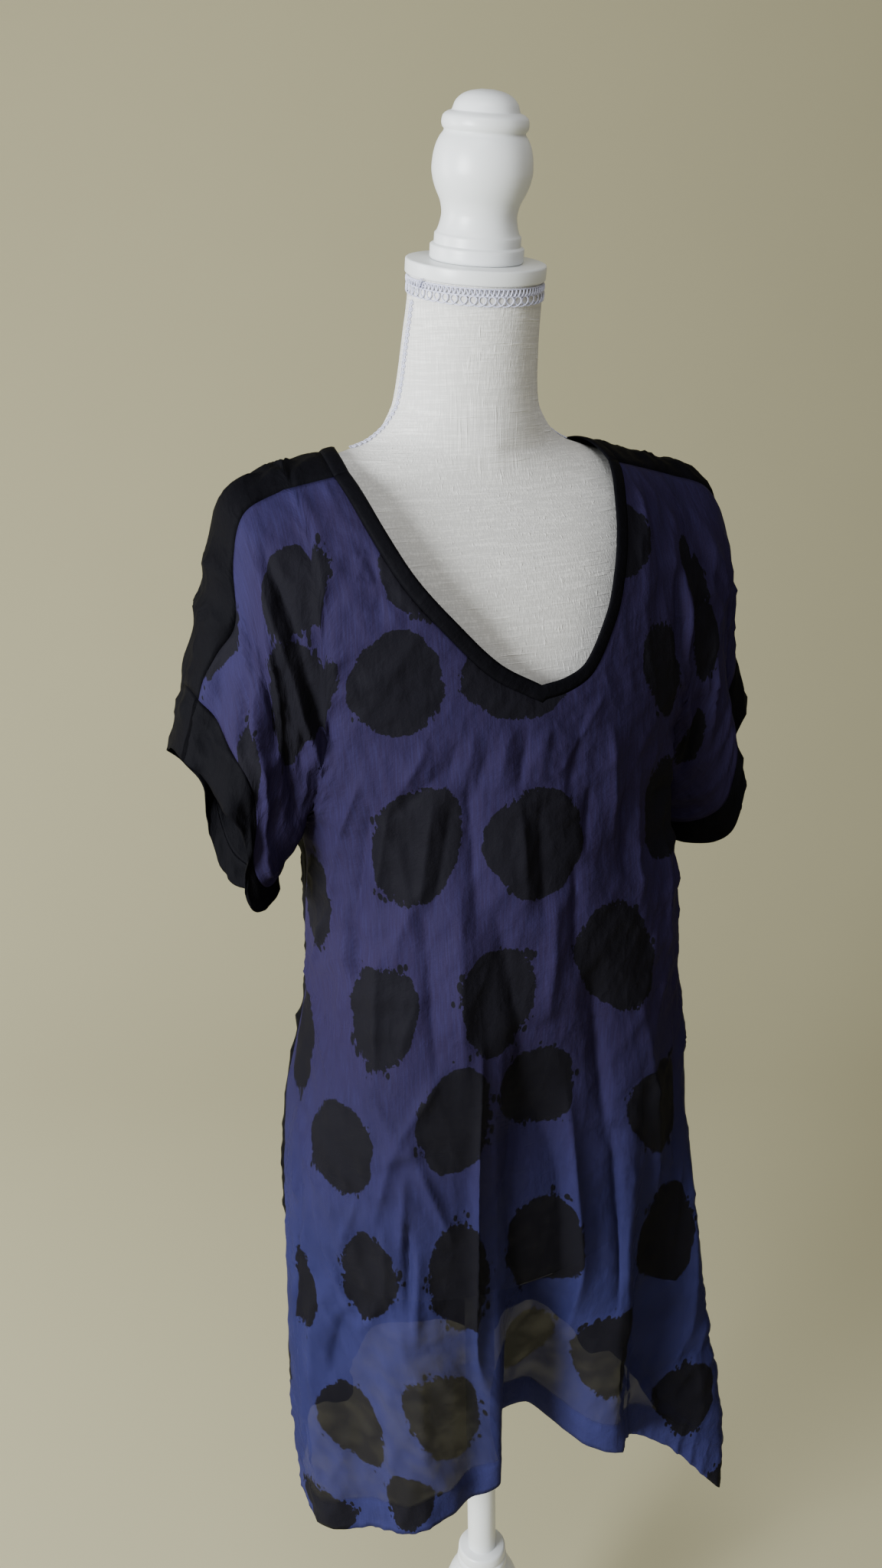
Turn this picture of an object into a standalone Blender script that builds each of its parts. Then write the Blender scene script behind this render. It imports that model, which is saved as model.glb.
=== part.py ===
"""Tunic top on a limbless dress form and stand.

Metres, +Z up. The origin is on the floor under the pole, and the form faces -Y.
The tunic has a printed front and a plain back that comes forward over the
shoulders, cut-on sleeves with separate cuffs, and a narrow neckband.
"""
import math

import bpy
from mathutils import Matrix, Vector

# ---------------------------------------------------------------- driving sizes
WALL = 0.0015          # cloth wall
BAND_WALL = 0.0018     # doubled cloth of neckband and cuffs
GAP = 0.0003           # clearance between neighbouring pieces
HALF_GAP = GAP / 2

RIDGE_Z = 1.404        # shoulder line where the sleeve begins
RIDGE_SLOPE = 0.28     # fall of the shoulder line, outward
RIDGE_ROUND = 0.10     # softens the shoulder line towards the neck
SHOULDER_TILT = 0.03   # the shoulder at -X sits higher
ARMPIT_Z = 1.135
ARMHOLE_X = 0.165      # half width across the shoulder line at the sleeve
ARMPIT_X = 0.158
ARMHOLE_FRONT = 0.080  # depth of the armhole ring, front and back
ARMHOLE_BACK = 0.075
SHOULDER_CREST = 1.15  # over 1 sharpens the crest of the shoulder
SEAM_TURN = math.radians(26)    # shoulder seam, forward of the crest

# Inner edge of the neckband in front, from the V to the shoulder seam: x, z.
NECKLINE = {
    -1: ((-0.001, 1.250), (-0.0335, 1.2685), (-0.0635, 1.2977), (-0.0908, 1.3310), (-0.1064, 1.3639),
         (-0.1168, 1.4000)),
    1: ((-0.001, 1.250), (0.0204, 1.2536), (0.0385, 1.2631), (0.0565, 1.2970), (0.0673, 1.3284),
        (0.0770, 1.3561), (0.0864, 1.3806), (0.0998, 1.4040)),
}
NECK_BACK_TURN = math.radians(51)
NECK_BACK_SQUARE = 0.6
NECK_BACK_LIFT = 0.02  # height over the shoulder line of a place inside the neck opening, for its back
BAND = 0.011           # width of the neckband

# Height of the hem: angle from the front, height.
HEM = (
    (-180, 0.495), (-135, 0.475), (-90, 0.440), (-62, 0.448), (-30, 0.482), (-12, 0.495), (0, 0.510),
    (16, 0.502), (28, 0.482), (48, 0.440), (62, 0.370), (80, 0.400), (110, 0.430), (145, 0.470), (180, 0.495),
)
SIDE_SEAM = ((-1, math.radians(107)), (1, math.radians(81)))  # side, angle from the front
SIDE_SEAM_EASE = 0.16  # height over which the seam moves to that angle

ARMPIT_MITRE = (0.3, -2.6)  # wall direction where sleeve and body fold together
CUFF_START = 0.79      # how far along the sleeve the cuff begins

# Body sections: height, half width at -X and at +X, depth in front and behind, squareness.
BODY_ROWS = (
    (0.40, 0.184, 0.199, 0.116, 0.116, 2.5),
    (0.56, 0.187, 0.183, 0.120, 0.116, 2.6),
    (0.70, 0.182, 0.187, 0.124, 0.116, 2.7),
    (0.86, 0.172, 0.190, 0.127, 0.110, 2.8),
    (0.96, 0.149, 0.179, 0.129, 0.108, 2.8),
    (1.045, 0.149, 0.180, 0.130, 0.108, 2.4),
    (1.095, 0.151, 0.160, 0.130, 0.109, 2.1),
    (1.135, 0.158, 0.158, 0.129, 0.110, 2.0),
    (1.20, 0.158, 0.158, 0.125, 0.111, 2.0),
    (1.2675, 0.158, 0.158, 0.118, 0.110, 2.0),
)

# Folds of the skirt: angle from the front, half width (degrees), how far the
# cloth stands out, share of the width that is the slope, height where the fold
# starts, height where it is full.
FRONT_FOLDS = (
    (-58, 24, -0.016, 1.00, 1.00, 0.50),
    (-31, 17, 0.010, 1.00, 0.92, 0.50),
    (-14, 7, -0.006, 1.00, 1.10, 0.80),
    (2.5, 12, -0.012, 0.90, 1.02, 0.80),
    (2.5, 10, -0.064, 0.62, 0.74, 0.52),
    (19, 8, 0.016, 0.90, 0.96, 0.60),
    (36, 13, -0.012, 1.00, 0.96, 0.62),
    (62, 19, 0.058, 1.00, 0.88, 0.44),
)
BACK_FOLDS = (
    (-66, 15, -0.008, 1.00, 0.80, 0.48),
    (-38, 13, -0.030, 0.90, 0.78, 0.50),
    (-12, 14, 0.024, 1.00, 0.98, 0.48),
    (11, 11, -0.034, 0.85, 0.76, 0.50),
    (33, 13, 0.022, 1.00, 0.94, 0.50),
    (57, 12, -0.024, 0.90, 0.78, 0.50),
)

# Upper edge of each sleeve from the shoulder line to the hem: x, z.
OVERARM = {
    -1: ((0.165, 1.404), (0.198, 1.388), (0.212, 1.350), (0.225, 1.300), (0.238, 1.252), (0.253, 1.203)),
    1: ((0.165, 1.404), (0.202, 1.394), (0.217, 1.378), (0.227, 1.340), (0.240, 1.252), (0.260, 1.195)),
}
UNDERARM_END = {-1: (0.167, 1.080), 1: (0.184, 1.060)}
# How far the hem of a sleeve hangs past its plane, where on the ring, half width of the place.
SLEEVE_SAG = {-1: (0.036, 138, 70), 1: (0.046, 128, 76)}
SAG_START = 0.2            # share of the way to the hem where it starts
SLEEVE_FRONT_HEM = 0.052   # depth of the sleeve's hem ring, front and back
SLEEVE_BACK_HEM = 0.060
# Overarm seam: share of the way to the hem, turn forward of the crest in degrees.
OVERARM_SEAM = {
    -1: ((0.0, 26), (0.3, 30), (0.45, 40), (0.62, 30), (0.75, 23), (1.0, 27)),
    1: ((0.0, 26), (0.5, 25), (1.0, 28)),
}

FOLD_SIDEWAYS = 0.7    # share of a sleeve's fold that stands out to the side
# Folds of a sleeve: angle round the arm from the overarm edge (degrees, plus is
# front), half width, how far it stands out, how far along it starts and is full.
SLEEVE_FOLDS = {
    -1: ((40, 18, -0.007, 0.15, 0.50), (72, 24, 0.009, 0.10, 0.60), (118, 26, -0.007, 0.20, 0.80),
         (-35, 20, 0.006, 0.25, 0.90), (-78, 22, -0.008, 0.20, 0.80), (-122, 24, 0.006, 0.25, 0.90)),
    1: ((38, 20, 0.004, 0.20, 0.60), (72, 22, -0.011, 0.10, 0.60), (114, 24, -0.005, 0.20, 0.80),
        (-40, 20, -0.006, 0.25, 0.90), (-80, 24, 0.008, 0.20, 0.80), (-125, 24, -0.005, 0.25, 0.90)),
}

# Form sections: height, half width, depth in front, depth behind, squareness.
FORM_ROWS = (
    (0.700, 0.148, 0.100, 0.094, 2.2),
    (0.708, 0.154, 0.106, 0.099, 2.2),
    (0.800, 0.162, 0.110, 0.102, 2.2),
    (0.900, 0.150, 0.102, 0.094, 2.1),
    (1.000, 0.122, 0.088, 0.078, 2.0),
    (1.060, 0.121, 0.090, 0.078, 2.0),
    (1.120, 0.134, 0.104, 0.085, 2.0),
    (1.180, 0.146, 0.113, 0.093, 2.1),
    (1.240, 0.150, 0.108, 0.097, 2.2),
    (1.300, 0.163, 0.093, 0.093, 2.2),
    (1.340, 0.176, 0.077, 0.080, 2.1),
    (1.368, 0.176, 0.060, 0.066, 2.0),
    (1.382, 0.170, 0.050, 0.058, 1.8),
    (1.394, 0.158, 0.046, 0.055, 1.6),
    (1.403, 0.140, 0.045, 0.054, 1.5),
    (1.4068, 0.127, 0.046, 0.050, 1.45),
    (1.4102, 0.113, 0.047, 0.050, 1.45),
    (1.4138, 0.100, 0.048, 0.050, 1.45),
    (1.4182, 0.086, 0.050, 0.052, 1.50),
    (1.4250, 0.0745, 0.051, 0.054, 1.65),
    (1.4330, 0.0660, 0.052, 0.054, 1.85),
    (1.4480, 0.0570, 0.0530, 0.0535, 2.0),
    (1.4900, 0.0523, 0.0510, 0.0510, 2.0),
    (1.5380, 0.0500, 0.0500, 0.0500, 2.0),
)
FORM_SIDES = 36
NECK_LEAN = math.radians(10.5)
# Middle of the form's level sections: height, how far behind the stand's axis.
FORM_MIDDLE = (
    (1.360, 0.000), (1.403, 0.001), (1.419, 0.005), (1.448, 0.007), (1.490, -0.001), (1.538, -0.011),
)
FORM_TILT = (1.42, 1.47)   # heights over which the shoulders' tilt fades into the neck
NECK_LEAN_HEIGHTS = (1.416, 1.5014)   # heights over which the sections start to lean forward
NECK_TOP_Z = 1.538

BRAID_HEIGHT = 0.015
BRAID_THICK = 0.0012
SIDE_BRAID_HALF = 0.003
# Where each side braid ends at the tunic: form section, share of the way to the next.
SIDE_BRAID_ENDS = {-1: (16, 0.15), 1: (17, 0.78)}

CAP_RADIUS = 0.0525
CAP_HEIGHT = 0.0110
CAP_EDGE = 0.0012
FINIAL_SIDES = 28
# Turned finial: height over the cap, radius.
FINIAL = (
    (0.0000, 0.0340), (0.0012, 0.0349), (0.0095, 0.0349), (0.0105, 0.0338), (0.0112, 0.0322),
    (0.0175, 0.0320), (0.0188, 0.0308), (0.0205, 0.0300), (0.0235, 0.0290), (0.0310, 0.0277),
    (0.0385, 0.0290), (0.0470, 0.0330), (0.0545, 0.0356), (0.0610, 0.0366), (0.0680, 0.0362),
    (0.0760, 0.0345), (0.0820, 0.0318), (0.0850, 0.0296), (0.0862, 0.0292), (0.0880, 0.0306),
    (0.0910, 0.0313), (0.0950, 0.0306), (0.0978, 0.0275), (0.0990, 0.0244), (0.1000, 0.0240),
    (0.1040, 0.0226), (0.1085, 0.0185), (0.1115, 0.0120), (0.1128, 0.0048),
)

POLE_RADIUS = 0.0143
POLE_TOP = 0.700 - GAP
POLE_FOOT = 0.262
STAND_SIDES = 36
# Turned column that holds the pole: height, radius.
COLUMN = (
    (0.0283, 0.0400), (0.0400, 0.0430), (0.0500, 0.0400), (0.0620, 0.0260),
    (0.1050, 0.0225), (0.1500, 0.0270), (0.1850, 0.0330), (0.2150, 0.0390),
    (0.2400, 0.0395), (0.2600, 0.0345), (0.2740, 0.0268), (0.2770, 0.0245),
    (0.2800, 0.0255), (0.2850, 0.0255), (0.2880, 0.0235), (0.2910, 0.0245),
    (0.2980, 0.0240), (0.3000, 0.0222),
)
BASE_RADIUS = 0.170
BASE_HEIGHT = 0.028
BASE_EDGE = 0.006

# ------------------------------------------------------------------ mesh counts
SEAM_COLUMNS = 5
FRONT_NECK_COLUMNS = 13
BACK_NECK_COLUMNS = 8
FRONT_RING = 12        # steps round the armhole ring from the seam to the armpit
BACK_RING = 13
SKIRT_ROWS = 20
SLEEVE_STEPS = 6
CUFF_STEPS = 2
FINE = 240             # fine steps for measuring along a row
STEEP_SHARE = 0.3      # how much a steep run of the neckline counts when columns are shared out


def clamp(value, low=0.0, high=1.0):
    return max(low, min(high, value))


def mix(a, b, t):
    return a + (b - a) * t


def ease(edge_0, edge_1, value):
    """0 at edge_0, 1 at edge_1, smooth between."""
    t = clamp((value - edge_0) / (edge_1 - edge_0))
    return t * t * (3 - 2 * t)


def table(rows, key, column):
    """Smooth value of a column at a key, through rows in rising order of their first number."""
    keys = [row[0] for row in rows]
    key = clamp(key, keys[0], keys[-1])
    i = max(k for k in range(len(keys) - 1) if keys[k] <= key)
    t = (key - keys[i]) / (keys[i + 1] - keys[i])
    values = [row[column] for row in rows]

    def slope(k):
        if k in (0, len(keys) - 1):
            return 0.0
        return (values[k + 1] - values[k - 1]) / (keys[k + 1] - keys[k - 1])

    step = keys[i + 1] - keys[i]
    return ((2 * t ** 3 - 3 * t ** 2 + 1) * values[i]
            + (t ** 3 - 2 * t ** 2 + t) * step * slope(i)
            + (3 * t ** 2 - 2 * t ** 3) * values[i + 1]
            + (t ** 3 - t ** 2) * step * slope(i + 1))


# ---------------------------------------------------------------- cloth surface
RING_Z = (RIDGE_Z + ARMPIT_Z) / 2      # middle of the armhole ring
RING_HALF = (RIDGE_Z - ARMPIT_Z) / 2   # half its height, also the drop of the shoulder's round


def ridge(x):
    """Height of the shoulder line, before the tilt."""
    return RIDGE_Z + RIDGE_SLOPE * (math.hypot(ARMHOLE_X, RIDGE_ROUND) - math.hypot(x, RIDGE_ROUND))


def tilted(point):
    """The shoulders tilted to one side."""
    share = ease(ARMPIT_Z, RIDGE_Z, point.z)
    return Vector((point.x, point.y, point.z - SHOULDER_TILT * point.x * share))


def drop_of(turn):
    """Fall from the shoulder line after a turn over it; past a quarter turn it goes straight down."""
    turn = abs(turn)
    if turn < math.pi / 2:
        return RING_HALF * (1 - math.cos(turn))
    return RING_HALF * (1 + turn - math.pi / 2)


def turn_of(drop):
    if drop < RING_HALF:
        return math.acos(clamp(1 - drop / RING_HALF, -1, 1))
    return math.pi / 2 + drop / RING_HALF - 1


def crest(turn):
    """Share of the full depth reached after a turn over the shoulder line."""
    turn = abs(turn)
    return math.sin(turn) ** SHOULDER_CREST if turn < math.pi / 2 else 1.0


def armhole_x(z):
    return mix(ARMPIT_X, ARMHOLE_X, (z - ARMPIT_Z) / (RIDGE_Z - ARMPIT_Z))


def armhole_depth(z, front):
    """Depth of the armhole ring, without the shoulder's own round."""
    depth = ARMHOLE_FRONT if front else ARMHOLE_BACK
    if z >= RING_Z:
        return depth
    return depth * math.sqrt(max(0.0, 1 - ((RING_Z - z) / RING_HALF) ** 2))


def body_depth(z, front):
    return table(BODY_ROWS, min(z, RING_Z), 3 if front else 4)


def fold_bump(offset, half, slope_share):
    """1 in the middle of a fold, 0 at its edges."""
    d = abs(offset) / half
    return 1 - ease(1 - slope_share, 1.0, d)


def skirt_fold(angle, z):
    """How far the cloth stands out from its plain section."""
    front = abs(angle) <= 90
    folds = FRONT_FOLDS if front else BACK_FOLDS
    at = angle if front else (180 - angle if angle > 0 else -180 - angle)
    return sum(out * fold_bump(at - centre, half, share) * ease(start, full, z)
               for centre, half, out, share, start, full in folds)


def upper_point(x, turn):
    """Cloth over the shoulders and chest; a turn above 0 is in front of the shoulder line."""
    front = turn >= 0
    z = ridge(x) - drop_of(turn)
    depth = body_depth(z, front)
    widest = math.acos(clamp(armhole_depth(z, front) / depth, -1, 1))
    sine = clamp(x / armhole_x(z) * math.sin(widest), -1, 1)
    y = depth * math.sqrt(1 - sine * sine) * crest(turn)
    return tilted(Vector((x, -y if front else y, z)))


def lower_point(angle, z):
    """Cloth below the armpit at an angle from the front, seen from above."""
    s, c = math.sin(angle), math.cos(angle)
    width = table(BODY_ROWS, z, 1 if s < 0 else 2)
    depth = body_depth(z, c >= 0)
    power = 2 / table(BODY_ROWS, z, 5)
    x = width * math.copysign(abs(s) ** power, s)
    y = -depth * math.copysign(abs(c) ** power, c)
    out = Vector((s / width, -c / depth, 0)).normalized()
    return Vector((x, y, z)) + out * skirt_fold(math.degrees(angle), z)


def hem_z(angle):
    return table(HEM, math.degrees(wrap(angle)), 1)


def curve_through(points, t):
    """Smooth curve through points (Catmull-Rom), t from 0 to 1 by length."""
    lengths = [0.0]
    for a, b in zip(points, points[1:]):
        lengths.append(lengths[-1] + math.dist(a, b))
    rows = [(length / lengths[-1],) + tuple(p) for length, p in zip(lengths, points)]
    t = clamp(t)
    i = max(k for k in range(len(rows) - 1) if rows[k][0] <= t)
    step = rows[i + 1][0] - rows[i][0]
    u = (t - rows[i][0]) / step
    result = []
    for column in range(1, len(rows[0])):
        def slope(k):
            low, high = max(k - 1, 0), min(k + 1, len(rows) - 1)
            return (rows[high][column] - rows[low][column]) / (rows[high][0] - rows[low][0])
        result.append((2 * u ** 3 - 3 * u ** 2 + 1) * rows[i][column]
                      + (u ** 3 - 2 * u ** 2 + u) * step * slope(i)
                      + (3 * u ** 2 - 2 * u ** 3) * rows[i + 1][column]
                      + (u ** 3 - u ** 2) * step * slope(i + 1))
    return result


def sleeve_point(side, along, turn):
    """Sleeve surface: along from armhole (0) to hem (1), turn from the overarm edge."""
    over_x, over_z = curve_through(OVERARM[side], along)
    under_x = mix(ARMPIT_X, UNDERARM_END[side][0], along)
    under_z = mix(ARMPIT_Z, UNDERARM_END[side][1], along)
    front = turn >= 0
    around = abs(turn)
    if front:
        depth = mix(ARMHOLE_FRONT, SLEEVE_FRONT_HEM, along)
    else:
        depth = mix(ARMHOLE_BACK, SLEEVE_BACK_HEM, along)
    lift = math.cos(around)
    x = (over_x + under_x) / 2 + (over_x - under_x) / 2 * lift
    z = (over_z + under_z) / 2 + (over_z - under_z) / 2 * lift
    bulge = math.sin(around) if around > math.pi / 2 else math.sin(around) ** SHOULDER_CREST
    y = depth * bulge
    amount, place, half = SLEEVE_SAG[side]
    sag = amount * ease(SAG_START, 1.0, along) * fold_bump(math.degrees(around) - place, half, 1.0)
    chord = Vector((over_x - under_x, over_z - under_z)).normalized()
    x += chord[1] * sag
    z -= chord[0] * sag
    degrees = math.degrees(turn)
    fold = sum(out * fold_bump(degrees - centre, half, 1.0) * ease(start, full, along)
               for centre, half, out, start, full in SLEEVE_FOLDS[side])
    y += fold * math.sin(around)
    x += fold * lift * FOLD_SIDEWAYS
    return tilted(Vector((side * x, -y if front else y, z)))


def normal_of(surface, u, v, step=1e-4):
    """Unit normal of surface(u, v): the side where u turns into v counter-clockwise."""
    along_u = surface(u + step, v) - surface(u - step, v)
    along_v = surface(u, v + step) - surface(u, v - step)
    return along_u.cross(along_v).normalized()


def upper_vertex(x, turn):
    reach = armhole_x(upper_point(x, turn).z) * 0.999
    return upper_point(x, turn), -normal_of(upper_point, clamp(x, -reach, reach), turn)


def lower_vertex(angle, z):
    return lower_point(angle, z), normal_of(lower_point, angle, z)


def sleeve_vertex(side, along, turn):
    def surface(u, v):
        return sleeve_point(side, u, v)
    return surface(along, turn), normal_of(surface, clamp(along, 0.002, 0.998), turn) * -side


def nudge(surface, u, v, along_u, along_v, distance):
    """Parameters moved on the surface by a distance, in the direction of the step given."""
    step = 1e-4
    length = (surface(u + along_u * step, v + along_v * step) - surface(u, v)).length / step
    return u + along_u * distance / length, v + along_v * distance / length


# ----------------------------------------------------------------- mesh helpers
class Sheet:
    """A cloth panel: outer points with their normals, and the faces between them.

    Points on a free edge (a hem) are named, the other edges are seams.
    """

    def __init__(self):
        self.points, self.normals, self.faces = [], [], []
        self.free = set()

    def add(self, vertex, free=False):
        if free:
            self.free.add(len(self.points))
        self.points.append(vertex[0])
        self.normals.append(vertex[1])
        return len(self.points) - 1

    def grid(self, rows):
        """Quads between rows of point numbers."""
        for upper, lower in zip(rows, rows[1:]):
            for a, b, c, d in zip(upper, upper[1:], lower[1:], lower):
                self.quad(a, b, c, d)

    def quad(self, a, b, c, d):
        """Two triangles, split along the shorter diagonal."""
        pa, pb, pc, pd = (self.points[i] for i in (a, b, c, d))
        facing = (pc - pa).cross(pd - pb)
        average = self.normals[a] + self.normals[b] + self.normals[c] + self.normals[d]
        if facing.dot(average) < 0:
            a, b, c, d = d, c, b, a
        if (self.points[a] - self.points[c]).length < (self.points[b] - self.points[d]).length:
            self.faces += [(a, b, c), (a, c, d)]
        else:
            self.faces += [(a, b, d), (b, c, d)]

    def solid(self, wall):
        """Points and faces of the closed wall, the cloth's thickness laid inward."""
        count = len(self.points)
        edges = set()
        facets = [Vector() for _ in self.points]
        for face in self.faces:
            a, b, c = (self.points[i] for i in face)
            normal = (b - a).cross(c - a).normalized()
            for k, i in enumerate(face):
                corner = self.points[i]
                one = self.points[face[k - 1]] - corner
                other = self.points[face[(k + 1) % 3]] - corner
                facets[i] += normal * one.angle(other, 0.0)
            for edge in zip(face, face[1:] + face[:1]):
                if edge[::-1] in edges:
                    edges.discard(edge[::-1])
                else:
                    edges.add(edge)
        border = {i for edge in edges for i in edge} - self.free
        inner = []
        for i, point in enumerate(self.points):
            # seams keep the surface's own normal, so that both sides of them match
            normal = self.normals[i] if i in border else facets[i].normalized()
            inner.append(point - normal * wall)
        points = self.points + inner
        faces = list(self.faces)
        faces += [tuple(i + count for i in reversed(face)) for face in self.faces]
        for a, b in sorted(edges):
            if tuple(reversed(points[a])) > tuple(reversed(points[b])):
                faces += [(b, a, b + count), (a, a + count, b + count)]
            else:
                faces += [(b, a, a + count), (b, a + count, b + count)]
        return points, faces


def material(name, colour, roughness, metallic=0.0):
    found = bpy.data.materials.get(name)
    if found:
        return found
    made = bpy.data.materials.new(name)
    made.use_nodes = True
    shader = made.node_tree.nodes["Principled BSDF"]
    shader.inputs["Base Color"].default_value = (*colour, 1.0)
    shader.inputs["Roughness"].default_value = roughness
    shader.inputs["Metallic"].default_value = metallic
    made.diffuse_color = (*colour, 1.0)
    return made


def make_object(name, points, faces, finish, smooth_angle=math.radians(40)):
    mesh = bpy.data.meshes.new(name)
    mesh.from_pydata([tuple(p) for p in points], [], faces)
    mesh.validate()
    mesh.shade_smooth()
    mesh.set_sharp_from_angle(angle=smooth_angle)
    mesh.materials.append(finish)
    made = bpy.data.objects.new(name, mesh)
    bpy.context.scene.collection.objects.link(made)
    return made


def turned(name, profile, sides, finish, place=None, bore=None):
    """Solid turned round Z from rows of height and radius; bore is (radius, floor height)."""
    points, faces = [], []
    loops = [(radius, height) for height, radius in profile]
    if bore:
        loops += [(bore[0], profile[-1][0]), (bore[0], bore[1])]
    for radius, height in loops:
        points += [Vector((radius * math.cos(2 * math.pi * k / sides),
                           radius * math.sin(2 * math.pi * k / sides), height))
                   for k in range(sides)]
    for ring in range(len(loops) - 1):
        for k in range(sides):
            a, b = ring * sides + k, ring * sides + (k + 1) % sides
            faces.append((a, b, b + sides, a + sides))
    faces.append(tuple(reversed(range(sides))))
    last = (len(loops) - 1) * sides
    faces.append(tuple(range(last, last + sides)))
    if place:
        points = [place @ p for p in points]
    return make_object(name, points, faces, finish)


# --------------------------------------------------------------------- neckline
def neck_front(side, t):
    """Inner edge of the neckband in front, from the V (0) to the shoulder seam (1): x, turn."""
    end_x = NECKLINE[side][-1][0]
    end = (end_x, ridge(end_x) - drop_of(SEAM_TURN))
    x, z = curve_through(NECKLINE[side][:-1] + (end,), t)
    return x, turn_of(ridge(x) - z)


def neck_shares(front, side):
    """Where the columns of a panel start along the neckline, from the centre to the seam."""
    count = FRONT_NECK_COLUMNS if front else BACK_NECK_COLUMNS
    if not front:
        return [1 - k / count for k in range(count + 1)]
    places = [curve_through(NECKLINE[side], k / FINE) for k in range(FINE + 1)]
    run = [0.0]
    for (x0, z0), (x1, z1) in zip(places, places[1:]):
        run.append(run[-1] + abs(x1 - x0) + STEEP_SHARE * abs(z1 - z0))
    shares, i = [], 0
    for k in range(count + 1):
        want = run[-1] * k / count
        while i < FINE - 1 and run[i + 1] < want:
            i += 1
        shares.append((i + clamp((want - run[i]) / (run[i + 1] - run[i]))) / FINE)
    return shares


def neck_back(side, t):
    """Inner edge of the neckband behind, from the shoulder seam (0) to the centre back (1)."""
    angle = t * math.pi / 2
    x = NECKLINE[side][-1][0] * max(0.0, math.cos(angle)) ** NECK_BACK_SQUARE
    return x, SEAM_TURN - (SEAM_TURN + NECK_BACK_TURN) * math.sin(angle)


def neck_offset(curve, side, t, distance):
    """A place on the cloth at a distance outside the neckline: x, turn."""
    x, turn = curve(side, t)
    step = 1e-4
    low, high = max(0.0, t - step), min(1.0, t + step)
    run = upper_point(*curve(side, high)) - upper_point(*curve(side, low))
    point, normal = upper_vertex(x, turn)
    away = run.cross(normal).normalized()
    centre = Vector((0.0, 0.0, ridge(0) + (NECK_BACK_LIFT if curve is neck_back else 0.0)))
    if away.dot(point - centre) < 0:
        away = -away
    if curve is neck_front and t == 0.0:
        # the two sides meet in a mitre on the line of the V
        away = Vector((0.0, 0.0, -1.0)) / abs(away.z)
    across = (upper_point(x + step, turn) - upper_point(x - step, turn)) / (2 * step)
    down = (upper_point(x, turn + step) - upper_point(x, turn - step)) / (2 * step)
    aa, ab, bb = across.dot(across), across.dot(down), down.dot(down)
    wa, wb = away.dot(across) * distance, away.dot(down) * distance
    scale = aa * bb - ab * ab
    return x + (wa * bb - wb * ab) / scale, turn + (wb * aa - wa * ab) / scale


# ------------------------------------------------------------------ tunic panels
def ring_turns(front, side=1, along=0.0):
    """Turns round a sleeve ring, from the overarm seam to the underarm."""
    steps = FRONT_RING if front else BACK_RING
    start = math.radians(table(OVERARM_SEAM[side], along, 1))
    end = math.pi if front else -math.pi
    return [mix(start, end, k / steps) for k in range(steps + 1)]


def turn_on_body(ring_turn):
    """The body's own turn at the same height as a turn of the armhole ring."""
    drop = RING_HALF * (1 - math.cos(ring_turn))
    return math.copysign(turn_of(drop), ring_turn)


def top_edge(front):
    """Upper edge of a panel, from the -X armhole to the +X one: list of x, turn."""
    shift = HALF_GAP if front else -HALF_GAP
    curve = neck_front if front else neck_back
    halves = {}
    for side in (-1, 1):
        inner = neck_offset(curve, side, 1.0 if front else 0.0, BAND + HALF_GAP)
        seam = []
        for k in range(SEAM_COLUMNS):
            x = mix(side * ARMHOLE_X, inner[0], k / SEAM_COLUMNS)
            _, turn = nudge(upper_point, x, SEAM_TURN, 0, 1, shift)
            seam.append((x, turn))
        neck = []
        for t in reversed(neck_shares(front, side)):
            x, turn = neck_offset(curve, side, t, BAND + HALF_GAP)
            if not neck:
                _, turn = nudge(upper_point, x, SEAM_TURN, 0, 1, shift)
            neck.append((x, turn))
        halves[side] = seam + neck
    return halves[-1] + list(reversed(halves[1]))[1:]


def seam_angle(side, z):
    """Angle of the side seam; under the armpit it starts straight out to the side."""
    target = next(angle for s, angle in SIDE_SEAM if s == side)
    return mix(math.pi / 2, target, ease(ARMPIT_Z, ARMPIT_Z - SIDE_SEAM_EASE, z))


def row_angles(front, share, count):
    """Angles that divide a row of the skirt into equal lengths of cloth."""
    def height(angle):
        return mix(ARMPIT_Z, hem_z(angle), share)

    def edge(side):
        angle = math.pi / 2
        for _ in range(4):
            angle = seam_angle(side, height(angle))
        return angle

    left, right = -edge(-1), edge(1)
    if not front:
        left, right = left + 2 * math.pi, right
    angles = [mix(left, right, k / FINE) for k in range(FINE + 1)]
    points = [lower_point(wrap(a), height(a)) for a in angles]
    lengths = [0.0]
    for a, b in zip(points, points[1:]):
        lengths.append(lengths[-1] + (b - a).length)
    result, i = [], 0
    for k in range(count + 1):
        want = lengths[-1] * k / count
        while i < FINE - 1 and lengths[i + 1] < want:
            i += 1
        t = clamp((want - lengths[i]) / (lengths[i + 1] - lengths[i]))
        angle = mix(angles[i], angles[i + 1], t)
        result.append((wrap(angle), height(angle)))
    return result


def wrap(angle):
    return (angle + math.pi) % (2 * math.pi) - math.pi


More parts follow.
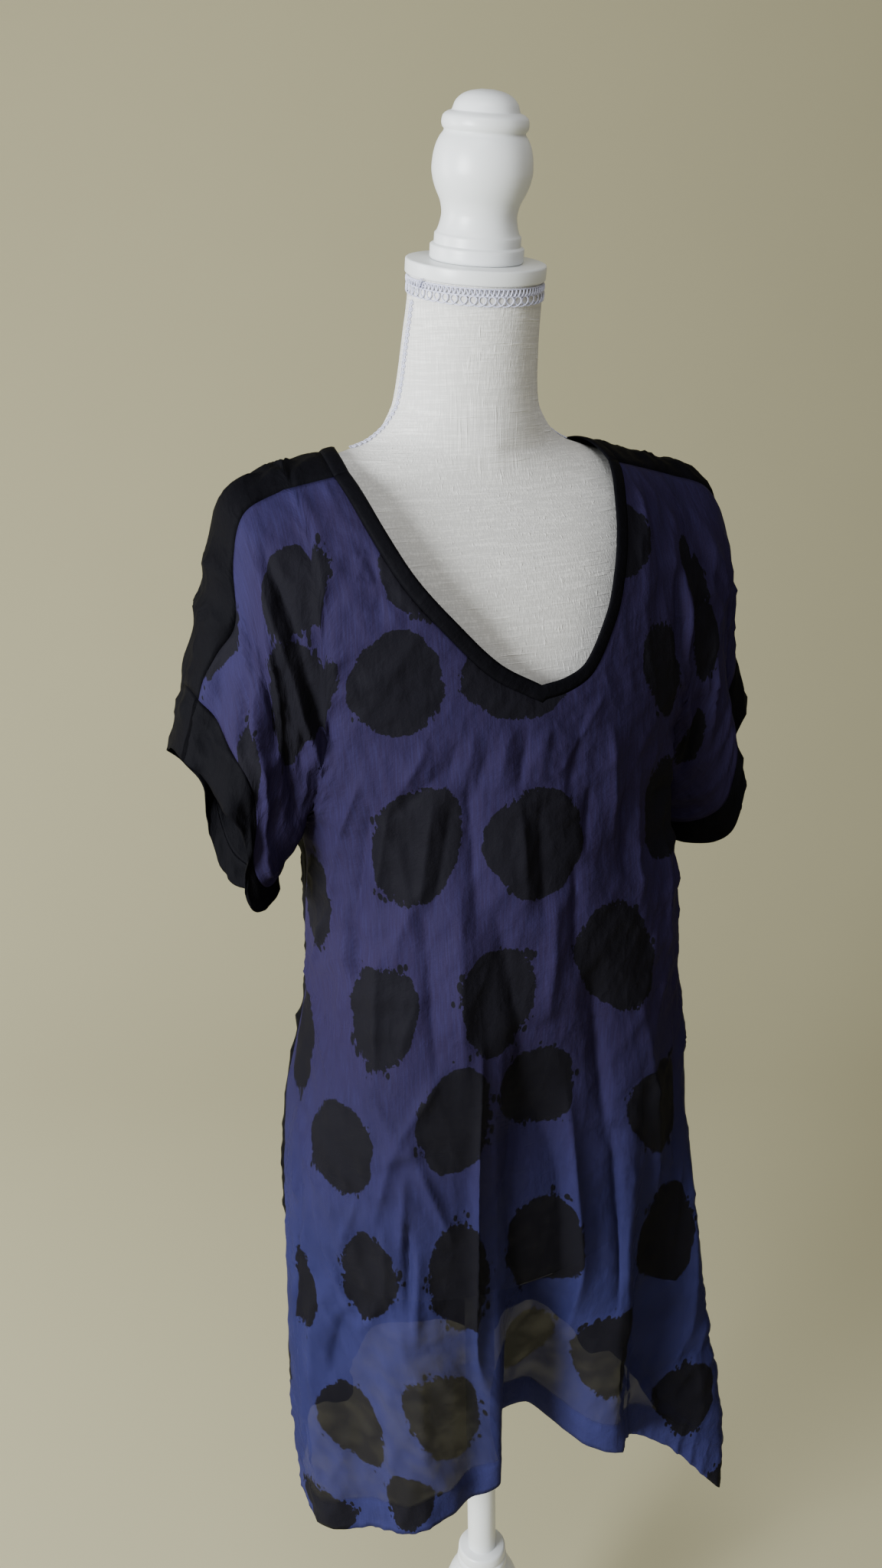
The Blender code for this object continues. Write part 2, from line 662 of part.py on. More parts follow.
def body_columns(sheet, front):
    """Rows of the body panel; returns them and the armhole columns of both sides."""
    top = top_edge(front)
    count = len(top) - 1
    turns = [turn_on_body(turn) for turn in ring_turns(front)]
    sign = 1 if front else -1
    shift = Vector((0, -HALF_GAP if front else HALF_GAP, 0))
    armpit_row = row_angles(front, 0.0, count)
    armpit_x = [lower_point(angle, z).x for angle, z in armpit_row]
    rows = []
    for k, ring_turn in enumerate(turns):
        share = (turns[0] - ring_turn) / (turns[0] - turns[-1])
        row = []
        for j, (x0, turn0) in enumerate(top):
            if k == len(turns) - 1:
                if j in (0, count):
                    point = Vector((math.copysign(ARMPIT_X, x0), 0, ARMPIT_Z)) + shift
                    mitre = Vector((math.copysign(ARMPIT_MITRE[0], x0), 0, ARMPIT_MITRE[1]))
                    row.append(sheet.add((point, mitre)))
                    continue
                row.append(sheet.add(lower_vertex(*armpit_row[j])))
                continue
            if j in (0, count):
                turn = turn0 if k == 0 else ring_turn
                z = ridge(ARMHOLE_X) - drop_of(turn)
                x = math.copysign(armhole_x(z), x0)
            else:
                end_turn = sign * turn_of(ridge(armpit_x[j]) - ARMPIT_Z)
                x = mix(x0, armpit_x[j], share)
                turn = mix(turn0, end_turn, share)
            row.append(sheet.add(upper_vertex(x, turn)))
        rows.append(row)
    for k in range(1, SKIRT_ROWS + 1):
        row = []
        for j, (angle, z) in enumerate(row_angles(front, k / SKIRT_ROWS, count)):
            point, normal = lower_vertex(angle, z)
            if j in (0, count):
                along = lower_point(angle + 1e-4, z) - lower_point(angle - 1e-4, z)
                along.normalize()
                inward = along if along.dot(Vector((0, -1 if front else 1, 0))) > 0 else -along
                point = point + inward * HALF_GAP
            row.append(sheet.add((point, normal), k == SKIRT_ROWS and 0 < j < count))
        rows.append(row)
    sheet.grid(rows)
    ring = len(turns)
    return [row[0] for row in rows[:ring]], [row[-1] for row in rows[:ring]]


def cuff_gap(side, turn, step=1e-3):
    """Half the clearance at the cuff's seam, as a share of the way along the sleeve."""
    here = sleeve_point(side, CUFF_START, turn)
    along = (sleeve_point(side, CUFF_START + step, turn) - here) / step
    around = sleeve_point(side, CUFF_START, turn + step) - here
    return HALF_GAP / along.cross(around.normalized()).length


def add_sleeve(sheet, side, front, armhole):
    """Sleeve half, joined to the armhole column of its body panel."""
    columns = [list(armhole)]
    shift = Vector((0, -HALF_GAP if front else HALF_GAP, 0))
    for i in range(1, SLEEVE_STEPS + 1):
        column = []
        share = i / SLEEVE_STEPS
        for k, turn in enumerate(ring_turns(front, side, CUFF_START * share)):
            if k == 0:
                gap = HALF_GAP if front else -HALF_GAP
                turn = nudge(lambda u, v: sleeve_point(side, u, v), share / 2, turn, 0, 1, gap)[1]
            along = CUFF_START * share
            if i == SLEEVE_STEPS:
                along -= cuff_gap(side, turn)
            point, normal = sleeve_vertex(side, along, turn)
            if k == len(armhole) - 1:
                # both panels share this normal, so that their edges stay parallel
                point = point + shift
                normal = Vector((normal.x, 0, normal.z)).normalized()
            column.append(sheet.add((point, normal)))
        columns.append(column)
    for number, turn in list(zip(armhole, ring_turns(front)))[:-1]:
        # the armhole column belongs to both surfaces
        sleeve_normal = sleeve_vertex(side, 0.0, turn)[1]
        sheet.normals[number] = (sheet.normals[number] + sleeve_normal).normalized()
    sheet.grid(columns)


def panel(name, front, finish):
    sheet = Sheet()
    left, right = body_columns(sheet, front)
    add_sleeve(sheet, -1, front, left)
    add_sleeve(sheet, 1, front, right)
    return make_object(name, *sheet.solid(WALL), finish)


def cuff(name, side, finish):
    """Closed band round the hem of a sleeve."""
    sheet = Sheet()
    turns = ring_turns(True, side, CUFF_START) + list(reversed(ring_turns(False, side, CUFF_START)))[1:-1]
    rows = []
    for i in range(CUFF_STEPS + 1):
        row = []
        for turn in turns:
            start = CUFF_START + cuff_gap(side, turn)
            vertex = sleeve_vertex(side, mix(start, 1.0, i / CUFF_STEPS), turn)
            row.append(sheet.add(vertex, i == CUFF_STEPS))
        rows.append(row + row[:1])
    sheet.grid(rows)
    return make_object(name, *sheet.solid(WALL), finish)


def neckband(name, front, finish):
    """Band round the neck opening, one half of it."""
    sheet = Sheet()
    curve = neck_front if front else neck_back
    shift = HALF_GAP if front else -HALF_GAP
    rows = []
    for distance in (0.0, BAND - HALF_GAP):
        halves = {}
        for side in (-1, 1):
            half = []
            for t in reversed(neck_shares(front, side)):
                x, turn = neck_offset(curve, side, t, distance)
                if not half:
                    _, turn = nudge(upper_point, x, SEAM_TURN, 0, 1, shift)
                half.append((x, turn))
            halves[side] = half
        line = halves[-1] + list(reversed(halves[1]))[1:]
        rows.append([sheet.add(upper_vertex(x, turn)) for x, turn in line])
    sheet.grid(rows)
    return make_object(name, *sheet.solid(BAND_WALL), finish)


# -------------------------------------------------------------- form and stand
def neck_frame(z):
    """Place of a section of the form: the neck leans forward as it rises."""
    lean = NECK_LEAN * ease(*NECK_LEAN_HEIGHTS, z)
    return Matrix.Translation((0, table(FORM_MIDDLE, z, 1), z)) @ Matrix.Rotation(lean, 4, "X")


def form_ring(row, outset=0.0, sides=FORM_SIDES):
    z, width, front, back, square = row
    frame = neck_frame(z)
    ring = []
    for k in range(sides):
        angle = 2 * math.pi * k / sides
        s, c = math.sin(angle), math.cos(angle)
        x = (width + outset) * math.copysign(abs(s) ** (2 / square), s)
        depth = (front if c > 0 else back) + outset
        y = -depth * math.copysign(abs(c) ** (2 / square), c)
        tilt = SHOULDER_TILT * ease(ARMPIT_Z, RIDGE_Z, z) * (1 - ease(*FORM_TILT, z))
        ring.append(frame @ Vector((x, y, -tilt * x)))
    return ring


def ring_between(low, high, share, outset):
    """Ring on the form's facets between two of its rings, moved out from the middle."""
    return [a.lerp(b, share) for a, b in zip(form_ring(low, outset), form_ring(high, outset))]


def form_torso(finish):
    rings = [form_ring(row) for row in FORM_ROWS]
    points = [p for ring in rings for p in ring]
    faces = []
    for r in range(len(rings) - 1):
        for k in range(FORM_SIDES):
            a, b = r * FORM_SIDES + k, r * FORM_SIDES + (k + 1) % FORM_SIDES
            faces.append((a, b, b + FORM_SIDES, a + FORM_SIDES))
    faces.append(tuple(reversed(range(FORM_SIDES))))
    last = (len(rings) - 1) * FORM_SIDES
    faces.append(tuple(range(last, last + FORM_SIDES)))
    return make_object("form_torso", points, faces, finish, math.radians(60))


def neck_braid(finish):
    """Braid round the top of the neck, just under the cap."""
    low, high = FORM_ROWS[-2:]
    rise = high[0] - low[0]
    upper, lower = 1 - GAP / rise, 1 - BRAID_HEIGHT / rise
    points, faces = [], []
    for outset, share in ((GAP, upper), (GAP + BRAID_THICK, upper), (GAP + BRAID_THICK, lower), (GAP, lower)):
        points += ring_between(low, high, share, outset)
    for ring in range(4):
        for k in range(FORM_SIDES):
            nxt = (k + 1) % FORM_SIDES
            a, b = ring * FORM_SIDES + k, ring * FORM_SIDES + nxt
            c, d = (ring + 1) % 4 * FORM_SIDES + nxt, (ring + 1) % 4 * FORM_SIDES + k
            faces.append((d, c, b, a))
    return make_object("neck_braid", points, faces, finish)


def side_braid(name, side, finish):
    """Narrow braid down the side of the neck and out along the shoulder."""
    quarter = FORM_SIDES // 4 if side > 0 else 3 * FORM_SIDES // 4
    last = len(FORM_ROWS) - 1
    low, high = FORM_ROWS[-2:]
    start = 1 - (BRAID_HEIGHT + BRAID_THICK) / (high[0] - low[0])
    first, share = SIDE_BRAID_ENDS[side]
    middles = [ring_between(FORM_ROWS[first], FORM_ROWS[first + 1], share, 0.0)[quarter]]
    middles += [form_ring(FORM_ROWS[r])[quarter] for r in range(first + 1, last)]
    middles.append(ring_between(low, high, start, 0.0)[quarter])
    along = Vector((0, 1, 0))
    sheet = Sheet()
    rows = []
    for i, middle in enumerate(middles):
        run = middles[min(i + 1, len(middles) - 1)] - middles[max(i - 1, 0)]
        normal = run.cross(along).normalized()
        if normal.x * side < 0:
            normal = -normal
        lift = normal * (GAP + BRAID_THICK)
        rows.append([sheet.add((middle + along * w * SIDE_BRAID_HALF + lift, normal)) for w in (-1, 1)])
    sheet.grid(rows)
    return make_object(name, *sheet.solid(BRAID_THICK), finish)


def neck_top():
    """Frame of the neck's top face."""
    return neck_frame(NECK_TOP_Z)


def neck_cap(finish):
    profile = (
        (GAP, CAP_RADIUS - CAP_EDGE), (GAP + CAP_EDGE, CAP_RADIUS),
        (CAP_HEIGHT - CAP_EDGE, CAP_RADIUS), (CAP_HEIGHT, CAP_RADIUS - CAP_EDGE),
    )
    return turned("neck_cap", profile, STAND_SIDES, finish, neck_top())


def finial(finish):
    rows = [(CAP_HEIGHT + GAP + height, radius) for height, radius in FINIAL]
    return turned("finial", rows, FINIAL_SIDES, finish, neck_top())


def stand(finish):
    turned("pole", ((POLE_FOOT, POLE_RADIUS), (POLE_TOP, POLE_RADIUS)), STAND_SIDES, finish)
    turned("stand_column", COLUMN, STAND_SIDES, finish,
           bore=(POLE_RADIUS + GAP, POLE_FOOT - GAP))
    profile = (
        (0.0, BASE_RADIUS - BASE_EDGE), (BASE_EDGE, BASE_RADIUS),
        (BASE_HEIGHT - BASE_EDGE, BASE_RADIUS - BASE_EDGE / 3), (BASE_HEIGHT, BASE_RADIUS - BASE_EDGE * 2),
    )
    turned("base", profile, STAND_SIDES * 2, finish)


def main():
    for found in list(bpy.data.objects):
        bpy.data.objects.remove(found, do_unlink=True)
    indigo = material("indigo_print", (0.055, 0.050, 0.160), 0.75)
    black = material("black_cloth", (0.010, 0.010, 0.013), 0.80)
    linen = material("linen", (0.72, 0.70, 0.67), 0.90)
    lilac = material("lilac_braid", (0.62, 0.62, 0.74), 0.60)
    white = material("white_paint", (0.78, 0.78, 0.77), 0.35)
    panel("tunic_front", True, indigo)
    panel("tunic_back", False, black)
    neckband("neckband_front", True, black)
    neckband("neckband_back", False, black)
    cuff("cuff_right_arm", -1, black)
    cuff("cuff_left_arm", 1, black)
    form_torso(linen)
    neck_braid(lilac)
    side_braid("side_braid_right", -1, lilac)
    side_braid("side_braid_left", 1, lilac)
    neck_cap(white)
    finial(white)
    stand(white)


main()
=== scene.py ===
"""Tunic top on a limbless dress form: cloth, linen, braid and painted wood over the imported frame."""
import math

import bpy
import numpy as np
from bpy.props import FloatProperty, FloatVectorProperty, IntProperty, PointerProperty
from mathutils import Matrix, Vector
from mathutils.bvhtree import BVHTree
from mathutils.kdtree import KDTree


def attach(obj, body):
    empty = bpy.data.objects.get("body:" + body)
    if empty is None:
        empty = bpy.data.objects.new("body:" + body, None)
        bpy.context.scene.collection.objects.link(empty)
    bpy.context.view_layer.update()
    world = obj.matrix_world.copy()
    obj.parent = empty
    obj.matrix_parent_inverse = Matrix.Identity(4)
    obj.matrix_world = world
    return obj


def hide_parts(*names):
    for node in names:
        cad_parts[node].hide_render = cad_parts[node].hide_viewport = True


bl_info = {
    "name": "Tunic top on a dress form",
    "version": (1, 0, 0),
    "blender": (4, 5, 0),
    "location": "View3D > Sidebar > Tunic",
    "description": "Soft pieces, finishes and stage of a tunic top on a dress form",
    "category": "Object",
}

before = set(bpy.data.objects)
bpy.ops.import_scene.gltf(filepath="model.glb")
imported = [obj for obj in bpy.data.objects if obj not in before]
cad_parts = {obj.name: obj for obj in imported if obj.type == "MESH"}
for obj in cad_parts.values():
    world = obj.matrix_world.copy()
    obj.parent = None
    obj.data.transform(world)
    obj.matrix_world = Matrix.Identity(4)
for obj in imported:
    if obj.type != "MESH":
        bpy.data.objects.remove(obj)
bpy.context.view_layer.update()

MM = 0.001

# ------------------------------------------------------------ sizes of the cloth
RIDGE_Z = 1.404        # shoulder line where the sleeve begins
RIDGE_SLOPE = 0.28     # fall of the shoulder line, outward
RIDGE_ROUND = 0.10     # softens the shoulder line towards the neck
SHOULDER_TILT = 0.03   # the shoulder at -X sits higher
ARMPIT_Z = 1.135
ARMHOLE_X = 0.165      # half width across the shoulder line at the sleeve
ARMPIT_X = 0.158
ARMHOLE_FRONT = 0.080  # depth of the armhole ring, front and back
ARMHOLE_BACK = 0.075
SHOULDER_CREST = 1.15  # over 1 sharpens the crest of the shoulder
SEAM_TURN = math.radians(26)    # shoulder seam, forward of the crest
RING_Z = (RIDGE_Z + ARMPIT_Z) / 2
RING_HALF = (RIDGE_Z - ARMPIT_Z) / 2

# Inner edge of the neckband in front, from the V to the shoulder seam: x, z.
NECKLINE = {
    -1: ((-0.001, 1.250), (-0.0335, 1.2685), (-0.0635, 1.2977), (-0.0908, 1.3310), (-0.1064, 1.3639),
         (-0.1168, 1.4000)),
    1: ((-0.001, 1.250), (0.0204, 1.2536), (0.0385, 1.2631), (0.0565, 1.2970), (0.0673, 1.3284),
        (0.0770, 1.3561), (0.0864, 1.3806), (0.0998, 1.4040)),
}
NECK_BACK_TURN = math.radians(51)
NECK_BACK_SQUARE = 0.6
NECK_BACK_LIFT = 0.02  # how far over the shoulder line the middle of the back neck opening lies
BAND = 0.011           # width of the neckband
BAND_CROWN = 0.0010    # how far its middle stands out
BAND_LAP = 0.0006      # how far its outer edge lies over the panels

# Height of the hem: angle from the front, height.
HEM = (
    (-180, 0.495), (-135, 0.475), (-90, 0.440), (-62, 0.448), (-30, 0.482), (-12, 0.495), (0, 0.510),
    (16, 0.502), (28, 0.482), (48, 0.440), (62, 0.370), (80, 0.400), (110, 0.430), (145, 0.470), (180, 0.495),
)
HEM_LINE = 0.0007      # how far the line of stitches over the hem sinks
HEM_LINE_HALF = 0.0025
SIDE_SEAM = {-1: math.radians(107), 1: math.radians(81)}   # angle from the front
SIDE_SEAM_EASE = 0.16  # height over which the seam moves to that angle
SIDE_SEAM_ROUNDS = 4   # the hem's height moves the seam, and the seam the height
CUFF_START = 0.79      # how far along the sleeve the cuff begins

# Body sections: height, half width at -X and at +X, depth in front and behind, squareness.
BODY_ROWS = (
    (0.40, 0.184, 0.199, 0.116, 0.116, 2.5),
    (0.56, 0.187, 0.183, 0.120, 0.116, 2.6),
    (0.70, 0.182, 0.187, 0.124, 0.116, 2.7),
    (0.86, 0.172, 0.190, 0.127, 0.110, 2.8),
    (0.96, 0.149, 0.179, 0.129, 0.108, 2.8),
    (1.045, 0.149, 0.180, 0.130, 0.108, 2.4),
    (1.095, 0.151, 0.160, 0.130, 0.109, 2.1),
    (1.135, 0.158, 0.158, 0.129, 0.110, 2.0),
    (1.20, 0.158, 0.158, 0.125, 0.111, 2.0),
    (1.2675, 0.158, 0.158, 0.118, 0.110, 2.0),
)

# Folds of the skirt: angle from the front, half width (degrees), how far the
# cloth stands out, share of the width that is the slope, height where the fold
# starts, height where it is full.
FRONT_FOLDS = (
    (-58, 24, -0.016, 1.00, 1.00, 0.50),
    (-31, 17, 0.010, 1.00, 0.92, 0.50),
    (-14, 7, -0.006, 1.00, 1.10, 0.80),
    (2.5, 12, -0.012, 0.90, 1.02, 0.80),
    (2.5, 10, -0.064, 0.62, 0.74, 0.52),
    (19, 8, 0.016, 0.90, 0.96, 0.60),
    (36, 13, -0.012, 1.00, 0.96, 0.62),
    (62, 19, 0.058, 1.00, 0.88, 0.44),
)
BACK_FOLDS = (
    (-66, 15, -0.008, 1.00, 0.80, 0.48),
    (-38, 13, -0.030, 0.90, 0.78, 0.50),
    (-12, 14, 0.024, 1.00, 0.98, 0.48),
    (11, 11, -0.034, 0.85, 0.76, 0.50),
    (33, 13, 0.022, 1.00, 0.94, 0.50),
    (57, 12, -0.024, 0.90, 0.78, 0.50),
)

# Upper edge of each sleeve from the shoulder line to the hem: x, z.
OVERARM = {
    -1: ((0.165, 1.404), (0.198, 1.388), (0.212, 1.350), (0.225, 1.300), (0.238, 1.252), (0.253, 1.203)),
    1: ((0.165, 1.404), (0.202, 1.394), (0.217, 1.378), (0.227, 1.340), (0.240, 1.252), (0.260, 1.195)),
}
UNDERARM_END = {-1: (0.167, 1.080), 1: (0.184, 1.060)}
# How far the hem of a sleeve hangs past its plane, where on the ring, half width of the place.
SLEEVE_SAG = {-1: (0.036, 138, 70), 1: (0.046, 128, 76)}
SAG_START = 0.2            # share of the way to the hem where it starts
SLEEVE_FRONT_HEM = 0.052   # depth of the sleeve's hem ring, front and back
SLEEVE_BACK_HEM = 0.060
# Overarm seam: share of the way to the hem, turn forward of the crest in degrees.
OVERARM_SEAM = {
    -1: ((0.0, 26), (0.3, 30), (0.45, 40), (0.62, 30), (0.75, 23), (1.0, 27)),
    1: ((0.0, 26), (0.5, 25), (1.0, 28)),
}
FOLD_SIDEWAYS = 0.7    # share of a sleeve's fold that stands out to the side
SLEEVE_MIDDLE = (0.2, 0.0, 1.2)   # a place inside the left sleeve
# Folds of a sleeve: angle round the arm from the overarm edge (degrees, plus is
# front), half width, how far it stands out, how far along it starts and is full.
SLEEVE_FOLDS = {
    -1: ((40, 18, -0.007, 0.15, 0.50), (72, 24, 0.009, 0.10, 0.60), (118, 26, -0.007, 0.20, 0.80),
         (-35, 20, 0.006, 0.25, 0.90), (-78, 22, -0.008, 0.20, 0.80), (-122, 24, 0.006, 0.25, 0.90)),
    1: ((38, 20, 0.004, 0.20, 0.60), (72, 22, -0.011, 0.10, 0.60), (114, 24, -0.005, 0.20, 0.80),
        (-40, 20, -0.006, 0.25, 0.90), (-80, 24, 0.008, 0.20, 0.80), (-125, 24, -0.005, 0.25, 0.90)),
}

# Form sections: height, half width, depth in front, depth behind, squareness.
FORM_ROWS = (
    (0.700, 0.148, 0.100, 0.094, 2.2),
    (0.708, 0.154, 0.106, 0.099, 2.2),
    (0.800, 0.162, 0.110, 0.102, 2.2),
    (0.900, 0.150, 0.102, 0.094, 2.1),
    (1.000, 0.122, 0.088, 0.078, 2.0),
    (1.060, 0.121, 0.090, 0.078, 2.0),
    (1.120, 0.134, 0.104, 0.085, 2.0),
    (1.180, 0.146, 0.113, 0.093, 2.1),
    (1.240, 0.150, 0.108, 0.097, 2.2),
    (1.300, 0.163, 0.093, 0.093, 2.2),
    (1.340, 0.176, 0.077, 0.080, 2.1),
    (1.368, 0.176, 0.060, 0.066, 2.0),
    (1.382, 0.170, 0.050, 0.058, 1.8),
    (1.394, 0.158, 0.046, 0.055, 1.6),
    (1.403, 0.140, 0.045, 0.054, 1.5),
    (1.4068, 0.127, 0.046, 0.050, 1.45),
    (1.4102, 0.113, 0.047, 0.050, 1.45),
    (1.4138, 0.100, 0.048, 0.050, 1.45),
    (1.4182, 0.086, 0.050, 0.052, 1.50),
    (1.4250, 0.0745, 0.051, 0.054, 1.65),
    (1.4330, 0.0660, 0.052, 0.054, 1.85),
    (1.4480, 0.0570, 0.0530, 0.0535, 2.0),
    (1.4900, 0.0523, 0.0510, 0.0510, 2.0),
    (1.5380, 0.0500, 0.0500, 0.0500, 2.0),
)
NECK_LEAN = math.radians(10.5)
# Middle of the form's level sections: height, how far behind the stand's axis.
FORM_MIDDLE = (
    (1.360, 0.000), (1.403, 0.001), (1.419, 0.005), (1.448, 0.007), (1.490, -0.001), (1.538, -0.011),
)
FORM_TILT = (1.42, 1.47)
NECK_LEAN_HEIGHTS = (1.416, 1.5014)   # heights over which the sections start to lean forward
NECK_TOP_Z = 1.538
BRAID_HEIGHT = 0.015

WOOD_GAP = 0.0003      # between a turned piece and the one under it
CAP_RADIUS = 0.0525
CAP_HEIGHT = 0.0110
# Turned finial: height over the cap, radius.
FINIAL = (
    (0.0000, 0.0340), (0.0012, 0.0349), (0.0095, 0.0349), (0.0105, 0.0338), (0.0112, 0.0322),
    (0.0175, 0.0320), (0.0188, 0.0308), (0.0205, 0.0300), (0.0235, 0.0290), (0.0310, 0.0277),
    (0.0385, 0.0290), (0.0470, 0.0330), (0.0545, 0.0356), (0.0610, 0.0366), (0.0680, 0.0362),
    (0.0760, 0.0345), (0.0820, 0.0318), (0.0850, 0.0296), (0.0862, 0.0292), (0.0880, 0.0306),
    (0.0910, 0.0313), (0.0950, 0.0306), (0.0978, 0.0275), (0.0990, 0.0244), (0.1000, 0.0240),
    (0.1040, 0.0226), (0.1085, 0.0185), (0.1115, 0.0120), (0.1128, 0.0048),
)
POLE_RADIUS = 0.0143
POLE_FOOT = 0.2625     # inside the column
POLE_TOP = 0.6997
# Turned column that holds the pole: height, radius.
COLUMN = (
    (0.0283, 0.0400), (0.0400, 0.0430), (0.0500, 0.0400), (0.0620, 0.0260),
    (0.1050, 0.0225), (0.1500, 0.0270), (0.1850, 0.0330), (0.2150, 0.0390),
    (0.2400, 0.0395), (0.2600, 0.0345), (0.2740, 0.0268), (0.2770, 0.0245),
    (0.2800, 0.0255), (0.2850, 0.0255), (0.2880, 0.0235), (0.2910, 0.0245),
    (0.2980, 0.0240), (0.3000, 0.0222),
)
BASE_RADIUS = 0.170
BASE_HEIGHT = 0.028
BASE_STEPS = ((0.0, 0.0), (0.45, 0.0), (0.6, 0.006), (1.0, 0.016))   # share of its height, inset
PROFILE_STEPS = 3      # rows of a curve between two rows of a profile
BEVEL_ANGLE = math.radians(25)    # sharper edges of the wood are bevelled
BEVEL_SEGMENTS = 3
SMOOTH_ANGLE = math.radians(50)

SEAM_COLUMNS = 26      # divisions of a panel along a shoulder seam
NECK_COLUMNS = 94      # along half the neckline
EDGE_COLUMNS = 22      # columns beside the armhole where the rows follow its ring
RING_STEPS = 52        # from the shoulder seam to the armpit, and half way round a sleeve
SKIRT_ROWS = 130       # from the armpits to the hem
SLEEVE_STEPS = 44      # from the armhole to the cuff
CUFF_STEPS = 60        # half way round a cuff
CUFF_ROWS = 14
BAND_COLUMNS = 90      # along half a neckband
BAND_ROWS = 6
FORM_SIDES = 96
FORM_STEPS = 5         # rings of the form between two rows of its table
NECK_SAMPLES = 401     # places where a neckline is measured
NECK_RISE_SHARE = 0.5  # how much a rise counts beside a run when its columns are spread
ROW_SAMPLES = 601      # places where a row of the skirt is measured
FLAT_STEPS = 14        # steps in which the cloth over the shoulders is laid flat
SMALL_STEP = 1e-4      # for a slope
LATTICE = 128          # numbers along each side of the noise's table
LATTICE_START = 900.0  # keeps places in it above zero

SEAM_DIP = 0.0008      # how far a seam sinks
SEAM_HALF = 0.003      # half width of the sunk place
PANEL_FADE = 0.012     # creases fade out this near a seam
CUFF_FADE = 0.008
MIDDLE_SLACK = 0.35    # share of the small creases that the middle of a panel gets
SLACK_WIDTHS = (0.07, 0.15)       # distances from the middle over which it rises to 1
MOST_ROOM = 0.02       # how deep under the cloth the form is looked for
FULL_CUT = 0.999       # most of its rectangle that a panel's cut is said to fill
FORM_CLEAR = 0.0006    # least gap between cloth and form
SHEER_HEIGHTS = (1.02, 0.90)   # the cloth lets light through below these heights
CUFF_DEPTH = 0.040
# Threads of the braid round the neck: turns, points, distance under the neck's top and
# its wave, distance from the linen in radii of the thread and its wave, sideways swing.
NECK_THREADS = (
    (0, 160, 0.0014, 0.0, 1.4, 0.0, 0.0),
    (0, 160, 0.0062, 0.0, 1.4, 0.0, 0.0),
    (92, 736, 0.0038, 0.0020, 2.0, 0.8, 0.0),
    (46, 644, 0.0096, 0.0034, 1.6, 0.9, 0.084),
)
SIDE_LOOP_PITCH = 0.0046
SIDE_LOOP_WIDTH = 0.0042
SIDE_LOOP_SWING = 0.0022
SIDE_LOOP_POINTS = 12
SIDE_LOOP_LIFT = (1.7, 0.8)       # distance from the linen in radii of the thread, and its wave
SIDE_CORD_LIFT = 1.3
SIDE_THREAD = 0.8      # its thread beside the neck's
SIDE_SAMPLES = 400     # places where the line of a side braid is measured
SIDE_BRAID_FOOT = {-1: 1.4143, 1: 1.4172}   # height where each side braid goes under the tunic
KNOT_ANGLE = math.radians(-75)
KNOT_PLACE = (0.004, 0.0016)      # under the neck's top, and out from the linen
KNOT_ENDS = 26
KNOT_SPREAD = (0.6, 0.7)          # how much an end points out, and any other way
KNOT_REACH = (0.0016, 0.0042)     # shortest and longest end
KNOT_BEND = 0.0016
KNOT_THREAD = 0.5
KNOT_SEED = 5

FLOOR_SIZE = 12.0
WALL_BEHIND = 3.8      # backdrop behind the form, along the view
WALL_HEIGHT = 4.5
COVE_RADIUS = 2.4      # curve between the floor and the backdrop
COVE_SEGMENTS = 32
SHARP_ANGLE = math.radians(60)
# Lights: name, place, aim, size, power, colour.
LIGHTS = (
    ("window", (-2.5, -0.95, 1.55), (0.0, 0.2, 1.1), 1.2, 168.0, (0.94, 0.98, 1.0)),
    ("room", (1.4, -2.6, 1.9), (0.0, 0.0, 1.0), 2.2, 3.0, (1.0, 0.96, 0.90)),
    ("top", (-0.7, -1.2, 3.0), (0.0, 0.0, 1.3), 1.2, 18.0, (0.97, 0.99, 1.0)),
    ("wall", (-2.3, 1.3, 1.6), (0.9, 3.6, 1.2), 1.6, 84.0, (0.98, 0.99, 1.0)),
)
WORLD_COLOUR = (1.0, 0.97, 0.92)
WORLD_STRENGTH = 0.27

CREASE_END = 0.05      # share of its length that a crease goes on past each end
CREASE_FADE = 0.7      # under 1 keeps it high for longer
CREASE_ROUND = 1.15    # 1 is a sharp ridge, 2 a round one
CRUMPLE_SEEDS = {True: 11, False: 31, "cuffs": 50}   # front, back, cuffs
CRUMPLE_FAMILIES = 16
CRUMPLE_SIZES = (0.014, 0.044)    # least and most distance between creases
CRUMPLE_SHARP = 2.2
CRUMPLE_LEVEL = 0.3    # height of a crease that counts as flat cloth
CRUMPLE_WANDER = 1.6   # how far, in creases, a family bends
CRUMPLE_BEND = 0.08    # length over which it bends
CRUMPLE_PATCHES = (0.54, 0.82)    # noise where a patch of creases starts and is full
CRUMPLE_PATCH_SIZE = 0.09
CRUMPLE_PATCH_SEED = 50
SPOT_CORNERS = ((3, 0.030), (4, 0.022), (7, 0.015))   # how many, share of the spot's size
SPOT_SEED = 7
SPOT_TURN = 6.3        # greatest turn of its corners
SPOT_FAR = 0.05        # greatest distance from a spot that is kept
INK_EDGE = 0.0004      # softness of a spot's edge
FLECK_REACH = (0.012, 0.002)      # flecks of ink from none to all, outside a spot
# The violet ground over the chest and middle is a violet tone with painted shade in it, darker than the
# indigo.
VIOLET_SHADE_FOOT = (0.72, 1.02)        # heights where the violet ground comes in
VIOLET_SHADE_TOP = (1.60, 1.42)         # and goes out again
VEIL = 0.32            # how much the haze in the sheer cloth hides at most
